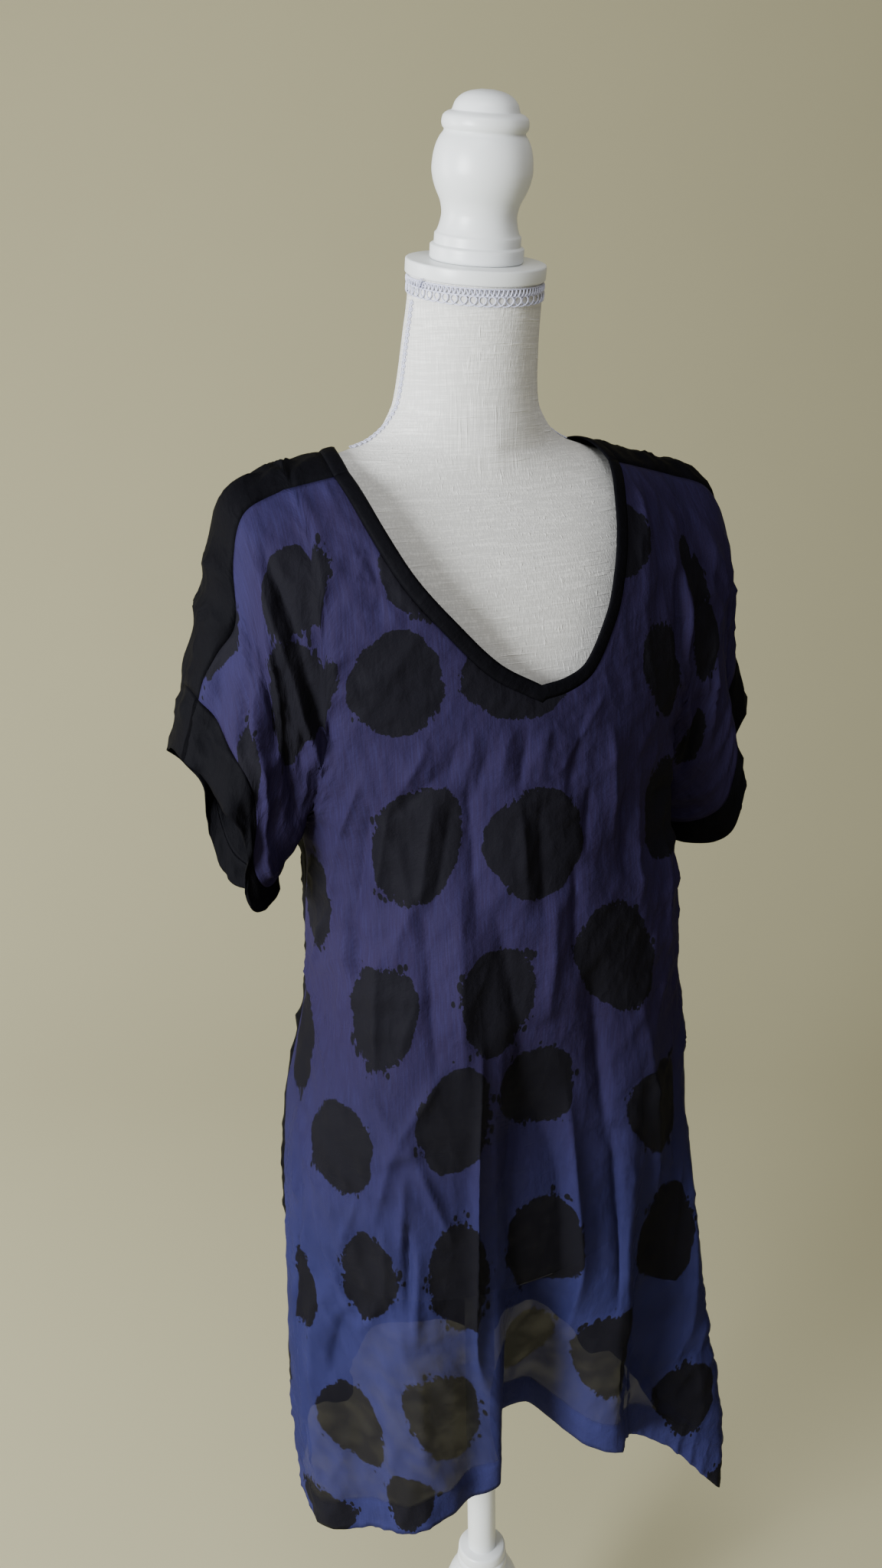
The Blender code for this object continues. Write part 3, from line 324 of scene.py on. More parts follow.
# Spots in the flat cloth of the front, all printed but the last, which is painted shade: middle, half
# width and height in millimetres, lean in degrees, share by which the spot is wider above than below.
SPOTS_AND_SHADE = (
    (-184, 1366, 34, 27, -36, 0.0), (-206, 1308, 62, 33, -43, 0.0), (-113, 1261, 35, 39, 0, 0.0),
    (-85, 1343, 33, 38, 0, 0.0), (-18, 1262, 46, 36, 0, 0.0), (84, 1352, 28, 31, -8, 0.0),
    (166, 1336, 17, 24, 0, 0.0), (184, 1295, 18, 30, 9, 0.0), (124, 1244, 24, 40, 22, 0.1),
    (210, 1223, 16, 28, 0, 0.0), (143, 1120, 30, 47, 0, 0.0), (-104, 1132, 34, 50, -18, 0.05),
    (-9, 1128, 42, 45, 18, 0.0), (70, 1011, 37, 55, 30, 0.25), (-139, 988, 31, 46, -14, 0.0),
    (-43, 998, 32, 47, -4, 0.1), (-212, 1064, 24, 40, -18, 0.0), (-185, 864, 35, 40, -8, 0.0),
    (-81, 899, 31, 48, -13, 0.0), (-2, 906, 35, 40, 18, 0.1), (129, 849, 36, 53, 30, 0.25),
    (-256, 924, 22, 43, 0, 0.0), (-164, 747, 28, 43, -8, 0.0), (-80, 747, 28, 56, 4, 0.0),
    (10, 742, 36, 54, 12, 0.1), (172, 699, 41, 60, 30, 0.2), (-243, 706, 22, 40, 0, 0.0),
    (-217, 578, 30, 45, -20, 0.0), (-119, 602, 33, 50, -6, 0.1), (6, 612, 34, 45, 0, 0.0),
    (103, 614, 38, 48, 28, 0.1), (262, 500, 31, 48, 30, 0.1), (-180, 512, 23, 34, -20, 0.0),
    (-284, 461, 34, 24, 0, 0.0), (225, 1000, 30, 45, 0, 0.1), (250, 830, 32, 48, 8, 0.0),
    (335, 700, 34, 48, 0, 0.0), (385, 520, 34, 50, 0, 0.1), (-335, 800, 32, 46, 0, 0.0),
    (-345, 600, 34, 48, 0, 0.0), (-302, 1326, 22, 44, 0, 0.0), (338, 385, 24, 22, 0, 0.0),
    # Not print: painted shade, ink in the valley left of the near sleeve's long fold, standing for the black
    # back cloth in shadow there.
    (-303, 1440, 34, 16, 0, 0.0),
)
# Creases in the flat cloth: start, end, half width and height in millimetres.
FRONT_CREASES = (
    # middle valley, its foot and its banks
    (-20, 960, 14, 660, 24, -16), (-45, 1080, -20, 960, 12, -5), (-58, 960, -74, 600, 10, 12),
    (26, 890, 56, 620, 12, 12),
    # right of the middle
    (43, 1007, 66, 834, 12, -7), (70, 850, 88, 657, 14, -10), (93, 972, 162, 669, 13, 6),
    (25, 1104, 25, 1020, 5, -3.5), (6, 1076, 1, 976, 8, 4), (150, 980, 175, 760, 9, -4),
    (200, 800, 240, 560, 10, 4), (120, 640, 150, 520, 9, -4),
    # left of the middle
    (-101, 1080, -94, 932, 9, -5), (-117, 1135, -106, 1037, 7, 3), (-72, 1087, -73, 943, 9, 4),
    (-140, 1039, -146, 927, 5, 3.5), (-163, 1083, -162, 1000, 4, -4.5), (-173, 1075, -173, 1003, 4, 3),
    # crossing creases of the left flank
    (-191, 1066, -255, 970, 5, 3.5), (-268, 990, -177, 900, 5, 3.5), (-161, 936, -120, 871, 4.5, 4),
    (-89, 945, -132, 877, 4.5, 3.5), (-119, 878, -88, 787, 4.5, 4), (-132, 877, -154, 802, 5, 3.5),
    (-104, 863, -143, 855, 4, -3), (-252, 873, -207, 813, 4.5, 4), (-207, 813, -182, 777, 4.5, 3.5),
    (-263, 826, -236, 738, 4, 3.5), (-125, 850, -131, 777, 4, 4), (-125, 807, -126, 724, 3.5, -5.5),
    (-117, 777, -123, 685, 5, 4.5), (-146, 803, -147, 727, 6, 3), (-166, 828, -195, 758, 5, 3),
    (-193, 702, -222, 622, 9, -6), (-184, 681, -151, 726, 5, 3.5), (-226, 698, -251, 567, 7, 4),
    (-123, 661, -159, 544, 7, 3.5), (-240, 840, -300, 484, 4.5, -4), (-225, 805, -285, 484, 5, 4),
    # under the V and across the bust
    (-69, 1217, -79, 1180, 7, -1.8), (-45, 1215, -58, 1166, 8, -2), (-57, 1219, -67, 1173, 6, 1.6),
    (-30, 1222, -40, 1176, 7, 1.6), (-14, 1220, -23, 1174, 7, -1.7), (2, 1221, -7, 1178, 7, 1.6),
    (37, 1227, 18, 1162, 9, -2.6), (55, 1236, 10, 1181, 7, 2.2), (-92, 1213, -116, 1175, 6, 3),
    (-75, 1197, -128, 1152, 7, -2.5), (-63, 1190, -58, 1061, 12, -5), (-90, 1168, -102, 1086, 6, 3),
    (-75, 1167, -93, 1081, 6, -2.5), (-23, 1162, -18, 1081, 6, 3), (-7, 1154, -3, 1065, 7, -3),
    (39, 1164, 35, 1115, 4, -3.5), (62, 1208, 65, 1120, 8, 3.5), (97, 1169, 96, 1053, 7, 3.5),
    (82, 1166, 80, 1083, 6, -3),
    # below the armpits
    (-144, 1189, -172, 1121, 5, 3.5), (-137, 1162, -161, 1065, 6, -3.5), (-122, 1169, -140, 1076, 6, 3.5),
    (-171, 1127, -188, 1070, 4, 3), (150, 1180, 156, 1050, 16, 10), (140, 1120, 135, 1000, 6, 3.5),
    (190, 1080, 180, 940, 8, -4),
    # shoulders
    (-160, 1386, -160, 1336, 7, 2.5), (-122, 1370, -121, 1304, 8, -2), (119, 1390, 101, 1315, 6, 2),
    (126, 1375, 113, 1291, 5, -2),
    # tucks where the sleeves turn into the body
    (-203, 1404, -184, 1330, 4.5, -4.5), (-184, 1330, -160, 1205, 4.5, -5.5),
    (-214, 1390, -195, 1320, 5, 4), (-193, 1320, -170, 1215, 5, 4.5), (149, 1327, 155, 1255, 5, 4.5),
    (140, 1320, 146, 1240, 5, -4.5), (160, 1255, 215, 1205, 6, 4),
    # long fold down each sleeve and the valley beside it
    (-262, 1425, -287, 1392, 5, 5), (-287, 1392, -283, 1340, 6, 6), (-283, 1340, -260, 1270, 6, 6),
    (-260, 1270, -256, 1185, 6, 5), (-297, 1400, -303, 1350, 8, -7), (-300, 1350, -280, 1270, 8, -6),
    (-235, 1310, -205, 1200, 14, -6), (-220, 1380, -235, 1320, 6, 3), (-262, 1380, -255, 1320, 6, -3),
    (200, 1300, 235, 1240, 6, 4), (195, 1260, 225, 1190, 7, -5),
)
BACK_CREASES = (
    (0, 1400, 10, 1180, 12, 3.2), (-60, 1340, -100, 1150, 10, 3), (70, 1350, 120, 1160, 10, 3.4),
    (-30, 1100, -40, 820, 11, 4.2), (50, 1120, 46, 860, 10, 3.8), (120, 1080, 135, 800, 11, 4.2),
    (-130, 1100, -140, 850, 9, 3.6), (-200, 950, -190, 700, 10, 3.6), (200, 980, 215, 740, 9, 3.4),
    (0, 800, 6, 560, 9, 4),
)
CUFF_CREASES = {
    -1: ((50, 0, 60, -40, 6, 3), (120, 0, 110, -50, 6, 3),
         (240, 0, 250, -50, 7, 3), (330, 0, 320, -50, 6, 3)),
    1: ((50, 0, 60, -40, 6, 3), (130, 0, 120, -50, 6, 3),
        (250, 0, 240, -50, 7, 3), (340, 0, 350, -50, 6, 3)),
}


# --------------------------------------------------------------- settings
class ClothSettings(bpy.types.PropertyGroup):
    wall: FloatProperty(name="Wall", description="Thickness of the cloth", default=0.0009, unit="LENGTH")
    hem_band: FloatProperty(name="Hem band", description="Depth of the turned-up hem", default=0.032,
                            unit="LENGTH")
    crumple: FloatProperty(name="Crumple", description="Height of the small creases", default=0.0026,
                           unit="LENGTH")
    relief: FloatProperty(name="Relief", description="Share of their height that the placed creases get",
                          default=1.5, min=0.0)
    ink_rag: FloatProperty(name="Ragged edge", description="How far the edge of a spot wanders",
                           default=0.009, unit="LENGTH")
    cover: FloatProperty(name="Cover", description="How much of what is behind it sheer cloth hides",
                         default=0.75, min=0.0, max=1.0)
    indigo: FloatVectorProperty(name="Indigo", description="Ground of the print", subtype="COLOR", size=3,
                                default=(0.0215, 0.0225, 0.077))
    # Darker violet ground over the chest and middle: a violet tone with painted shade in it.
    violet_shade: FloatVectorProperty(name="Violet", description="Ground of the print over the chest and middle",
                                subtype="COLOR", size=3, default=(0.0190, 0.0143, 0.041))
    ink: FloatVectorProperty(name="Ink", description="Spots of the print", subtype="COLOR", size=3,
                             default=(0.0078, 0.0074, 0.0106))
    black: FloatVectorProperty(name="Black", description="Plain cloth", subtype="COLOR", size=3,
                               default=(0.0034, 0.0033, 0.0046))


class FormSettings(bpy.types.PropertyGroup):
    linen: FloatVectorProperty(name="Linen", description="Cover of the form", subtype="COLOR", size=3,
                               default=(0.84, 0.825, 0.795))
    braid: FloatVectorProperty(name="Braid", description="Looped trim", subtype="COLOR", size=3,
                               default=(0.60, 0.61, 0.78))
    paint: FloatVectorProperty(name="Paint", description="Painted wood", subtype="COLOR", size=3,
                               default=(0.78, 0.80, 0.81))
    thread: FloatProperty(name="Thread", description="Radius of the braid's thread", default=0.00055,
                          unit="LENGTH")
    sides: IntProperty(name="Sides", description="Sides of a turned piece", default=96, min=24)


class StageSettings(bpy.types.PropertyGroup):
    wall: FloatVectorProperty(name="Backdrop", description="Colour of the floor and backdrop",
                              subtype="COLOR", size=3, default=(0.445, 0.415, 0.265))
    lens: FloatProperty(name="Lens", description="Focal length of the camera", default=31.64)
    place: FloatVectorProperty(name="Camera place", description="Place of the camera", subtype="TRANSLATION",
                               size=3, default=(-0.4822, -0.9887, 1.515))
    heading: FloatProperty(name="Heading", description="Turn of the view from +Y towards +X",
                           subtype="ANGLE", default=math.radians(24.55))
    pitch: FloatProperty(name="Pitch", description="How far the camera looks down", subtype="ANGLE",
                         default=math.radians(19.0))
    roll: FloatProperty(name="Roll", description="Roll of the camera", subtype="ANGLE",
                        default=math.radians(-1.07))


# --------------------------------------------------------------- number helpers
def mix(a, b, t):
    return a + (b - a) * t


def ease(edge_0, edge_1, value):
    """0 at edge_0, 1 at edge_1, smooth between; arrays welcome."""
    t = np.clip((value - edge_0) / (edge_1 - edge_0), 0.0, 1.0)
    return t * t * (3 - 2 * t)


def wrap(angle):
    return (angle + math.pi) % (2 * math.pi) - math.pi


def hermite(keys, values, slopes, key):
    """Smooth value at a key, through values with a slope at each."""
    keys, values, slopes = (np.asarray(a, float) for a in (keys, values, slopes))
    key = np.clip(key, keys[0], keys[-1])
    i = np.clip(np.searchsorted(keys, key, side="right") - 1, 0, len(keys) - 2)
    step = keys[i + 1] - keys[i]
    t = (key - keys[i]) / step
    return ((2 * t ** 3 - 3 * t ** 2 + 1) * values[i] + (t ** 3 - 2 * t ** 2 + t) * step * slopes[i]
            + (3 * t ** 2 - 2 * t ** 3) * values[i + 1] + (t ** 3 - t ** 2) * step * slopes[i + 1])


def table(rows, key, column):
    """Smooth value of a column at a key, flat at both ends."""
    keys = np.array([row[0] for row in rows], float)
    values = np.array([row[column] for row in rows], float)
    slopes = np.zeros(len(keys))
    slopes[1:-1] = (values[2:] - values[:-2]) / (keys[2:] - keys[:-2])
    return hermite(keys, values, slopes, key)


def lengths_along(points):
    """Length of the line through points, from the first to each."""
    return np.concatenate([[0.0], np.cumsum(np.linalg.norm(np.diff(points, axis=0), axis=1))])


def curve_through(points, t):
    """Smooth curve through points, t from 0 to 1 by length; one array for each column."""
    points = np.array(points, float)
    keys = lengths_along(points)
    keys = keys / keys[-1]
    low = np.maximum(np.arange(len(keys)) - 1, 0)
    high = np.minimum(np.arange(len(keys)) + 1, len(keys) - 1)
    slopes = (points[high] - points[low]) / (keys[high] - keys[low])[:, None]
    return [hermite(keys, points[:, c], slopes[:, c], t) for c in range(points.shape[1])]


def stack(x, y, z):
    return np.stack(np.broadcast_arrays(x, y, z), -1).astype(float)


def unit(vectors):
    return vectors / np.maximum(np.linalg.norm(vectors, axis=-1, keepdims=True), 1e-12)


def lattice_noise(u, v, size, seed):
    """Smooth noise from 0 to 1 with lumps of a size, the same each run."""
    values = np.random.RandomState(seed).rand(LATTICE, LATTICE)
    a, b = np.asarray(u) / size + LATTICE_START, np.asarray(v) / size + LATTICE_START
    i, j = np.floor(a).astype(int), np.floor(b).astype(int)
    s, t = a - i, b - j
    s, t = s * s * (3 - 2 * s), t * t * (3 - 2 * t)

    def at(di, dj):
        return values[(i + di) % LATTICE, (j + dj) % LATTICE]
    return mix(mix(at(0, 0), at(1, 0), s), mix(at(0, 1), at(1, 1), s), t)


# ---------------------------------------------------------------- cloth surface
def ridge(x):
    """Height of the shoulder line, before the tilt."""
    return RIDGE_Z + RIDGE_SLOPE * (math.hypot(ARMHOLE_X, RIDGE_ROUND) - np.hypot(x, RIDGE_ROUND))


def tilted(points):
    """The shoulders tilted to one side."""
    result = points.copy()
    result[..., 2] -= SHOULDER_TILT * points[..., 0] * ease(ARMPIT_Z, RIDGE_Z, points[..., 2])
    return result


def drop_of(turn):
    """Fall from the shoulder line after a turn over it; past a quarter turn it goes straight down."""
    turn = np.abs(turn)
    return RING_HALF * np.where(turn < math.pi / 2, 1 - np.cos(turn), 1 + turn - math.pi / 2)


def turn_of(drop):
    return np.where(drop < RING_HALF, np.arccos(np.clip(1 - drop / RING_HALF, -1, 1)),
                    math.pi / 2 + drop / RING_HALF - 1)


def armhole_x(z):
    return mix(ARMPIT_X, ARMHOLE_X, (z - ARMPIT_Z) / (RIDGE_Z - ARMPIT_Z))


def armhole_depth(z, front):
    depth = np.where(front, ARMHOLE_FRONT, ARMHOLE_BACK)
    low = np.sqrt(np.maximum(0.0, 1 - ((RING_Z - z) / RING_HALF) ** 2))
    return depth * np.where(z >= RING_Z, 1.0, low)


def body_depth(z, front):
    z = np.minimum(z, RING_Z)
    return np.where(front, table(BODY_ROWS, z, 3), table(BODY_ROWS, z, 4))


def fold_bump(offset, half, slope_share=1.0):
    """1 in the middle of a fold, 0 at its edges."""
    return 1 - ease(1 - slope_share, 1.0, np.abs(offset) / half)


def skirt_fold(angle, z):
    """How far the cloth stands out from its plain section; the angle is in degrees."""
    front = np.abs(angle) <= 90
    behind = np.where(angle > 0, 180 - angle, -180 - angle)
    total = np.zeros(np.broadcast(angle, z).shape)
    for folds, where, at in ((FRONT_FOLDS, front, angle), (BACK_FOLDS, ~front, behind)):
        for centre, half, out, share, start, full in folds:
            total += np.where(where, out * fold_bump(at - centre, half, share) * ease(start, full, z), 0.0)
    return total


def over_shoulder(amount):
    """A depth from 0 to 1 over the shoulder, with its crest sharpened."""
    return amount ** SHOULDER_CREST


def upper_point(x, turn):
    """Cloth over the shoulders and chest; a turn above 0 is in front of the shoulder line."""
    front = turn >= 0
    z = ridge(x) - drop_of(turn)
    depth = body_depth(z, front)
    widest = np.arccos(np.clip(armhole_depth(z, front) / depth, -1, 1))
    sine = np.clip(x / armhole_x(z) * np.sin(widest), -1, 1)
    over = np.clip(np.abs(turn), 0, math.pi / 2)
    y = depth * np.sqrt(1 - sine * sine) * over_shoulder(np.sin(over))
    return tilted(stack(x, np.where(front, -y, y), z))


def section(angle, width, front, back, square):
    """A rounded section at an angle from the front, seen from above: x, y and its depth there."""
    s, c = np.sin(angle), np.cos(angle)
    depth = np.where(c > 0, front, back)
    power = 2 / square
    return width * np.copysign(np.abs(s) ** power, s), -depth * np.copysign(np.abs(c) ** power, c), depth


def lower_point(angle, z):
    """Cloth below the armpit at an angle from the front, seen from above."""
    s, c = np.sin(angle), np.cos(angle)
    width = np.where(s < 0, table(BODY_ROWS, z, 1), table(BODY_ROWS, z, 2))
    x, y, depth = section(angle, width, body_depth(z, True), body_depth(z, False), table(BODY_ROWS, z, 5))
    out = unit(stack(s / width, -c / depth, 0 * s))
    return stack(x, y, z) + out * skirt_fold(np.degrees(angle), z)[..., None]


def sleeve_point(side, along, turn):
    """Sleeve surface: along from armhole (0) to hem (1), turn from the overarm edge."""
    along, turn = np.broadcast_arrays(np.asarray(along, float), np.asarray(turn, float))
    over_x, over_z = curve_through(OVERARM[side], np.clip(along, 0, 1))
    under_x = mix(ARMPIT_X, UNDERARM_END[side][0], along)
    under_z = mix(ARMPIT_Z, UNDERARM_END[side][1], along)
    wide, high = over_x - under_x, over_z - under_z
    front = turn >= 0
    around = np.abs(turn)
    depth = np.where(front, mix(ARMHOLE_FRONT, SLEEVE_FRONT_HEM, along),
                     mix(ARMHOLE_BACK, SLEEVE_BACK_HEM, along))
    lift = np.cos(around)
    sine = np.maximum(np.sin(around), 0.0)
    y = depth * np.where(around > math.pi / 2, sine, over_shoulder(sine))
    amount, place, half = SLEEVE_SAG[side]
    sag = amount * ease(SAG_START, 1.0, along) * fold_bump(np.degrees(around) - place, half)
    sag = sag / np.hypot(wide, high)
    x = (over_x + under_x) / 2 + wide / 2 * lift + high * sag
    z = (over_z + under_z) / 2 + high / 2 * lift - wide * sag
    fold = np.zeros(x.shape)
    for centre, half, out, start, full in SLEEVE_FOLDS[side]:
        fold += out * fold_bump(np.degrees(turn) - centre, half) * ease(start, full, along)
    y = y + fold * np.sin(around)
    x = x + fold * lift * FOLD_SIDEWAYS
    return tilted(stack(side * x, np.where(front, -y, y), z))


# ------------------------------------------------------------------- neckline
def neck_front(side, t):
    """Inner edge of the neckband in front, from the V (0) to the shoulder seam (1): x, turn."""
    end_x = NECKLINE[side][-1][0]
    end = (end_x, float(ridge(end_x) - drop_of(SEAM_TURN)))
    x, z = curve_through(NECKLINE[side][:-1] + (end,), t)
    return x, turn_of(ridge(x) - z)


def neck_back(side, t):
    """Inner edge of the neckband behind, from the shoulder seam (0) to the centre back (1)."""
    angle = t * math.pi / 2
    x = NECKLINE[side][-1][0] * np.maximum(0.0, np.cos(angle)) ** NECK_BACK_SQUARE
    return x, SEAM_TURN - (SEAM_TURN + NECK_BACK_TURN) * np.sin(angle)


def neck_offset(front, side, t, distance):
    """Places on the cloth at a distance outside the neckline: x, turn."""
    curve = neck_front if front else neck_back
    x, turn = curve(side, t)
    run = (upper_point(*curve(side, np.minimum(1.0, t + SMALL_STEP)))
           - upper_point(*curve(side, np.maximum(0.0, t - SMALL_STEP))))
    across = (upper_point(x + SMALL_STEP, turn) - upper_point(x - SMALL_STEP, turn)) / (2 * SMALL_STEP)
    down = (upper_point(x, turn + SMALL_STEP) - upper_point(x, turn - SMALL_STEP)) / (2 * SMALL_STEP)
    away = unit(np.cross(run, np.cross(across, down)))
    centre = np.array([0.0, 0.0, float(ridge(0.0)) + (0.0 if front else NECK_BACK_LIFT)])
    facing = np.sum(away * (upper_point(x, turn) - centre), -1)
    away = away * np.where(facing < 0, -1.0, 1.0)[:, None]
    if front:
        # the two sides meet in a mitre on the line of the V
        at_v = t <= 0.0
        away[at_v] = np.array([0.0, 0.0, -1.0]) / np.abs(away[at_v, 2:3])
    aa, ab, bb = np.sum(across ** 2, -1), np.sum(across * down, -1), np.sum(down ** 2, -1)
    wa, wb = np.sum(away * across, -1) * distance, np.sum(away * down, -1) * distance
    scale = aa * bb - ab * ab
    return x + (wa * bb - wb * ab) / scale, turn + (wb * aa - wa * ab) / scale


def neck_shares(front, count):
    """Where the columns start along each half of the neckline, from the centre to the seam."""
    if not front:
        return {side: np.linspace(1, 0, count + 1) for side in (-1, 1)}
    shares = {}
    t = np.linspace(0, 1, NECK_SAMPLES)
    for side in (-1, 1):
        x, z = curve_through(NECKLINE[side], t)
        steps = np.abs(np.diff(x)) + NECK_RISE_SHARE * np.abs(np.diff(z))
        run = np.concatenate([[0.0], np.cumsum(steps)])
        shares[side] = np.interp(np.linspace(0, run[-1], count + 1), run, t)
    return shares


def neck_row(front, count, distance, seam_columns=0):
    """A row of cloth beside the neckline, from -X to +X: arrays of x and turn.

    With seam columns it goes on along the shoulder seams to both armholes.
    """
    shares = neck_shares(front, count)
    halves = []
    for side in (-1, 1):
        x, turn = neck_offset(front, side, shares[side], distance)
        turn[-1] = SEAM_TURN
        seam_x = np.linspace(side * ARMHOLE_X, x[-1], seam_columns + 1)[:-1]
        halves.append((np.concatenate([seam_x, x[::-1]]),
                       np.concatenate([np.full(seam_columns, SEAM_TURN), turn[::-1]])))
    return [np.concatenate([left, right[-2::-1]]) for left, right in zip(*halves)]


# ------------------------------------------------------------------ cloth grids
def ring_turns(front, steps, side=1, along=0.0):
    """Turns round a sleeve ring, from the overarm seam to the underarm."""
    start = math.radians(float(table(OVERARM_SEAM[side], along, 1)))
    return np.linspace(start, math.pi if front else -math.pi, steps + 1)


def row_height(angle, share):
    """Height of a row of the skirt at an angle: the share is 0 at the armpits, 1 at the hem."""
    return mix(ARMPIT_Z, table(HEM, np.degrees(wrap(angle)), 1), share)


def row_angles(front, share, count):
    """A row of the skirt, divided into equal lengths of cloth: angles, heights, lengths from the middle."""
    ends = []
    for side in (-1, 1):
        angle = math.pi / 2
        for _ in range(SIDE_SEAM_ROUNDS):
            moved = ease(ARMPIT_Z, ARMPIT_Z - SIDE_SEAM_EASE, row_height(side * angle, share))
            angle = mix(math.pi / 2, SIDE_SEAM[side], float(moved))
        ends.append(side * angle)
    left, right = ends
    if not front:
        left += 2 * math.pi
    angles = np.linspace(left, right, ROW_SAMPLES)
    run = lengths_along(lower_point(wrap(angles), row_height(angles, share)))
    want = np.linspace(0, run[-1], count + 1)
    found = wrap(np.interp(want, run, angles))
    order = 1 if right > left else -1
    middle = np.interp((0.0 if front else math.pi) * order, angles * order, run)
    return found, row_height(found, share), want - middle


def length_of(path):
    """Length of a path that gives points for a share of the way."""
    total, last = 0.0, path(0.0)
    for k in range(1, FLAT_STEPS + 1):
        point = path(k / FLAT_STEPS)
        total = total + np.linalg.norm(point - last, axis=-1)
        last = point
    return total


def upper_flat(x, turn):
    """Place in the flat cloth of points over the shoulders: across from the middle, and up."""
    sign = np.where(turn >= 0, 1.0, -1.0)
    height = ridge(x) - drop_of(turn)
    low = sign * turn_of(ridge(x) - ARMPIT_Z)

    def level(share):
        return upper_point(x * share, sign * turn_of(ridge(x * share) - height))[..., :2]

    def rising(share):
        return upper_point(x, mix(low, turn, share))
    return np.stack([length_of(level) * np.sign(x), ARMPIT_Z + length_of(rising)], -1)


class Cloth:
    """Points of a cloth piece, their place in the flat cloth, and the faces between them."""

    def __init__(self):
        self.points, self.flat = np.zeros((0, 3)), np.zeros((0, 2))
        self.faces = np.zeros((0, 4), int)
        self.seams, self.hems = [], []

    def add(self, points, flat):
        """Add a grid of points; gives their numbers."""
        points, flat = np.array(points), np.array(flat)
        first = len(self.points)
        self.points = np.concatenate([self.points, points.reshape(-1, 3)])
        self.flat = np.concatenate([self.flat, flat.reshape(-1, 2)])
        return np.arange(first, len(self.points)).reshape(points.shape[:-1])

    def grid(self, index, outward):
        """Quads over a grid of point numbers, turned to face outward."""
        quads = np.stack([index[:-1, :-1], index[:-1, 1:], index[1:, 1:], index[1:, :-1]], -1).reshape(-1, 4)
        turned_in = np.sum(self.crossed(quads) * outward(self.points[quads].mean(axis=1))) < 0
        self.faces = np.concatenate([self.faces, quads[:, ::-1] if turned_in else quads])

    def crossed(self, quads):
        """Normal of each quad, twice as long as its area."""
        a, b, c, d = (self.points[quads[:, k]] for k in range(4))
        return np.cross(c - a, d - b)

    def area(self):
        return float(np.linalg.norm(self.crossed(self.faces), axis=1).sum() / 2)

    def normals(self):
        normal = self.crossed(self.faces)
        total = np.zeros(self.points.shape)
        for k in range(4):
            np.add.at(total, self.faces[:, k], normal)
        return unit(total)

    def push(self, height):
        """Move the points out, each by its own height."""
        self.points += self.normals() * height[:, None]

    def distance_to(self, numbers):
        """Distance of every point from the nearest of some of the points."""
        tree = KDTree(len(numbers))
        for k, number in enumerate(numbers):
            tree.insert(self.points[number], k)
        tree.balance()
        return np.array([tree.find(p)[2] for p in self.points])

    def beside_seams(self, height, reach):
        """Heights that fade out within reach of a seam, with the seams sunk a little."""
        away = self.distance_to(self.seams)
        return height * ease(0.0, reach, away) - SEAM_DIP * np.exp(-(away / SEAM_HALF) ** 2)


def from_axis(points):
    return points * (1.0, 1.0, 0.0)


def body_cloth(front):
    """A whole panel with its two sleeve halves."""
    cloth = Cloth()
    x0, turn0 = neck_row(front, NECK_COLUMNS, BAND, SEAM_COLUMNS)
    count = len(x0) - 1
    ring = ring_turns(front, RING_STEPS)
    body_turn = np.copysign(turn_of(RING_HALF * (1 - np.cos(ring))), ring)
    angles, heights, _ = row_angles(front, 0.0, count)
    armpit_x = lower_point(angles, heights)[:, 0]
    end_turn = (1.0 if front else -1.0) * turn_of(ridge(armpit_x) - ARMPIT_Z)
    by_ring = ((body_turn[0] - body_turn) / (body_turn[0] - body_turn[-1]))[:, None]
    by_count = np.linspace(0, 1, RING_STEPS + 1)[:, None]
    column = np.arange(count + 1)
    share = mix(by_ring, by_count, ease(0, EDGE_COLUMNS, np.minimum(column, count - column)))
    x, turn = mix(x0, armpit_x, share), mix(turn0, end_turn, share)
    for j in (0, count):
        turn[1:, j] = body_turn[1:]
        x[:, j] = np.copysign(armhole_x(ridge(ARMHOLE_X) - drop_of(turn[:, j])), x0[j])
    rows = list(upper_point(x[:-1], turn[:-1]))
    flats = list(upper_flat(x[:-1], turn[:-1]))
    for k in range(SKIRT_ROWS + 1):
        angles, heights, across = row_angles(front, k / SKIRT_ROWS, count)
        rows.append(lower_point(angles, heights))
        flats.append(np.stack([across, heights], -1))
    for end, side in ((0, -1), (-1, 1)):
        rows[RING_STEPS][end] = (side * ARMPIT_X, 0.0, ARMPIT_Z)
    body = cloth.add(rows, flats)
    cloth.grid(body, from_axis)
    cloth.seams += list(body[0]) + list(body[RING_STEPS:, 0]) + list(body[RING_STEPS:, -1])
    cloth.hems += list(body[-1])
    for side, armhole in ((-1, body[:RING_STEPS + 1, 0]), (1, body[:RING_STEPS + 1, -1])):
        rings, flats = [cloth.points[armhole]], [cloth.flat[armhole]]
        for i in range(1, SLEEVE_STEPS + 1):
            along = CUFF_START * i / SLEEVE_STEPS
            rings.append(sleeve_point(side, along, ring_turns(front, RING_STEPS, side, along)))
            flats.append(flats[-1].copy())
            flats[-1][:, 0] += side * np.linalg.norm(rings[-1] - rings[-2], axis=-1)
        index = np.concatenate([armhole[None, :], cloth.add(rings[1:], flats[1:])])
        middle = np.array(SLEEVE_MIDDLE) * (side, 1, 1)
        cloth.grid(index, lambda points, middle=middle: points - middle)
        cloth.seams += list(index[:, 0]) + list(index[:, -1]) + list(index[-1])
    return cloth


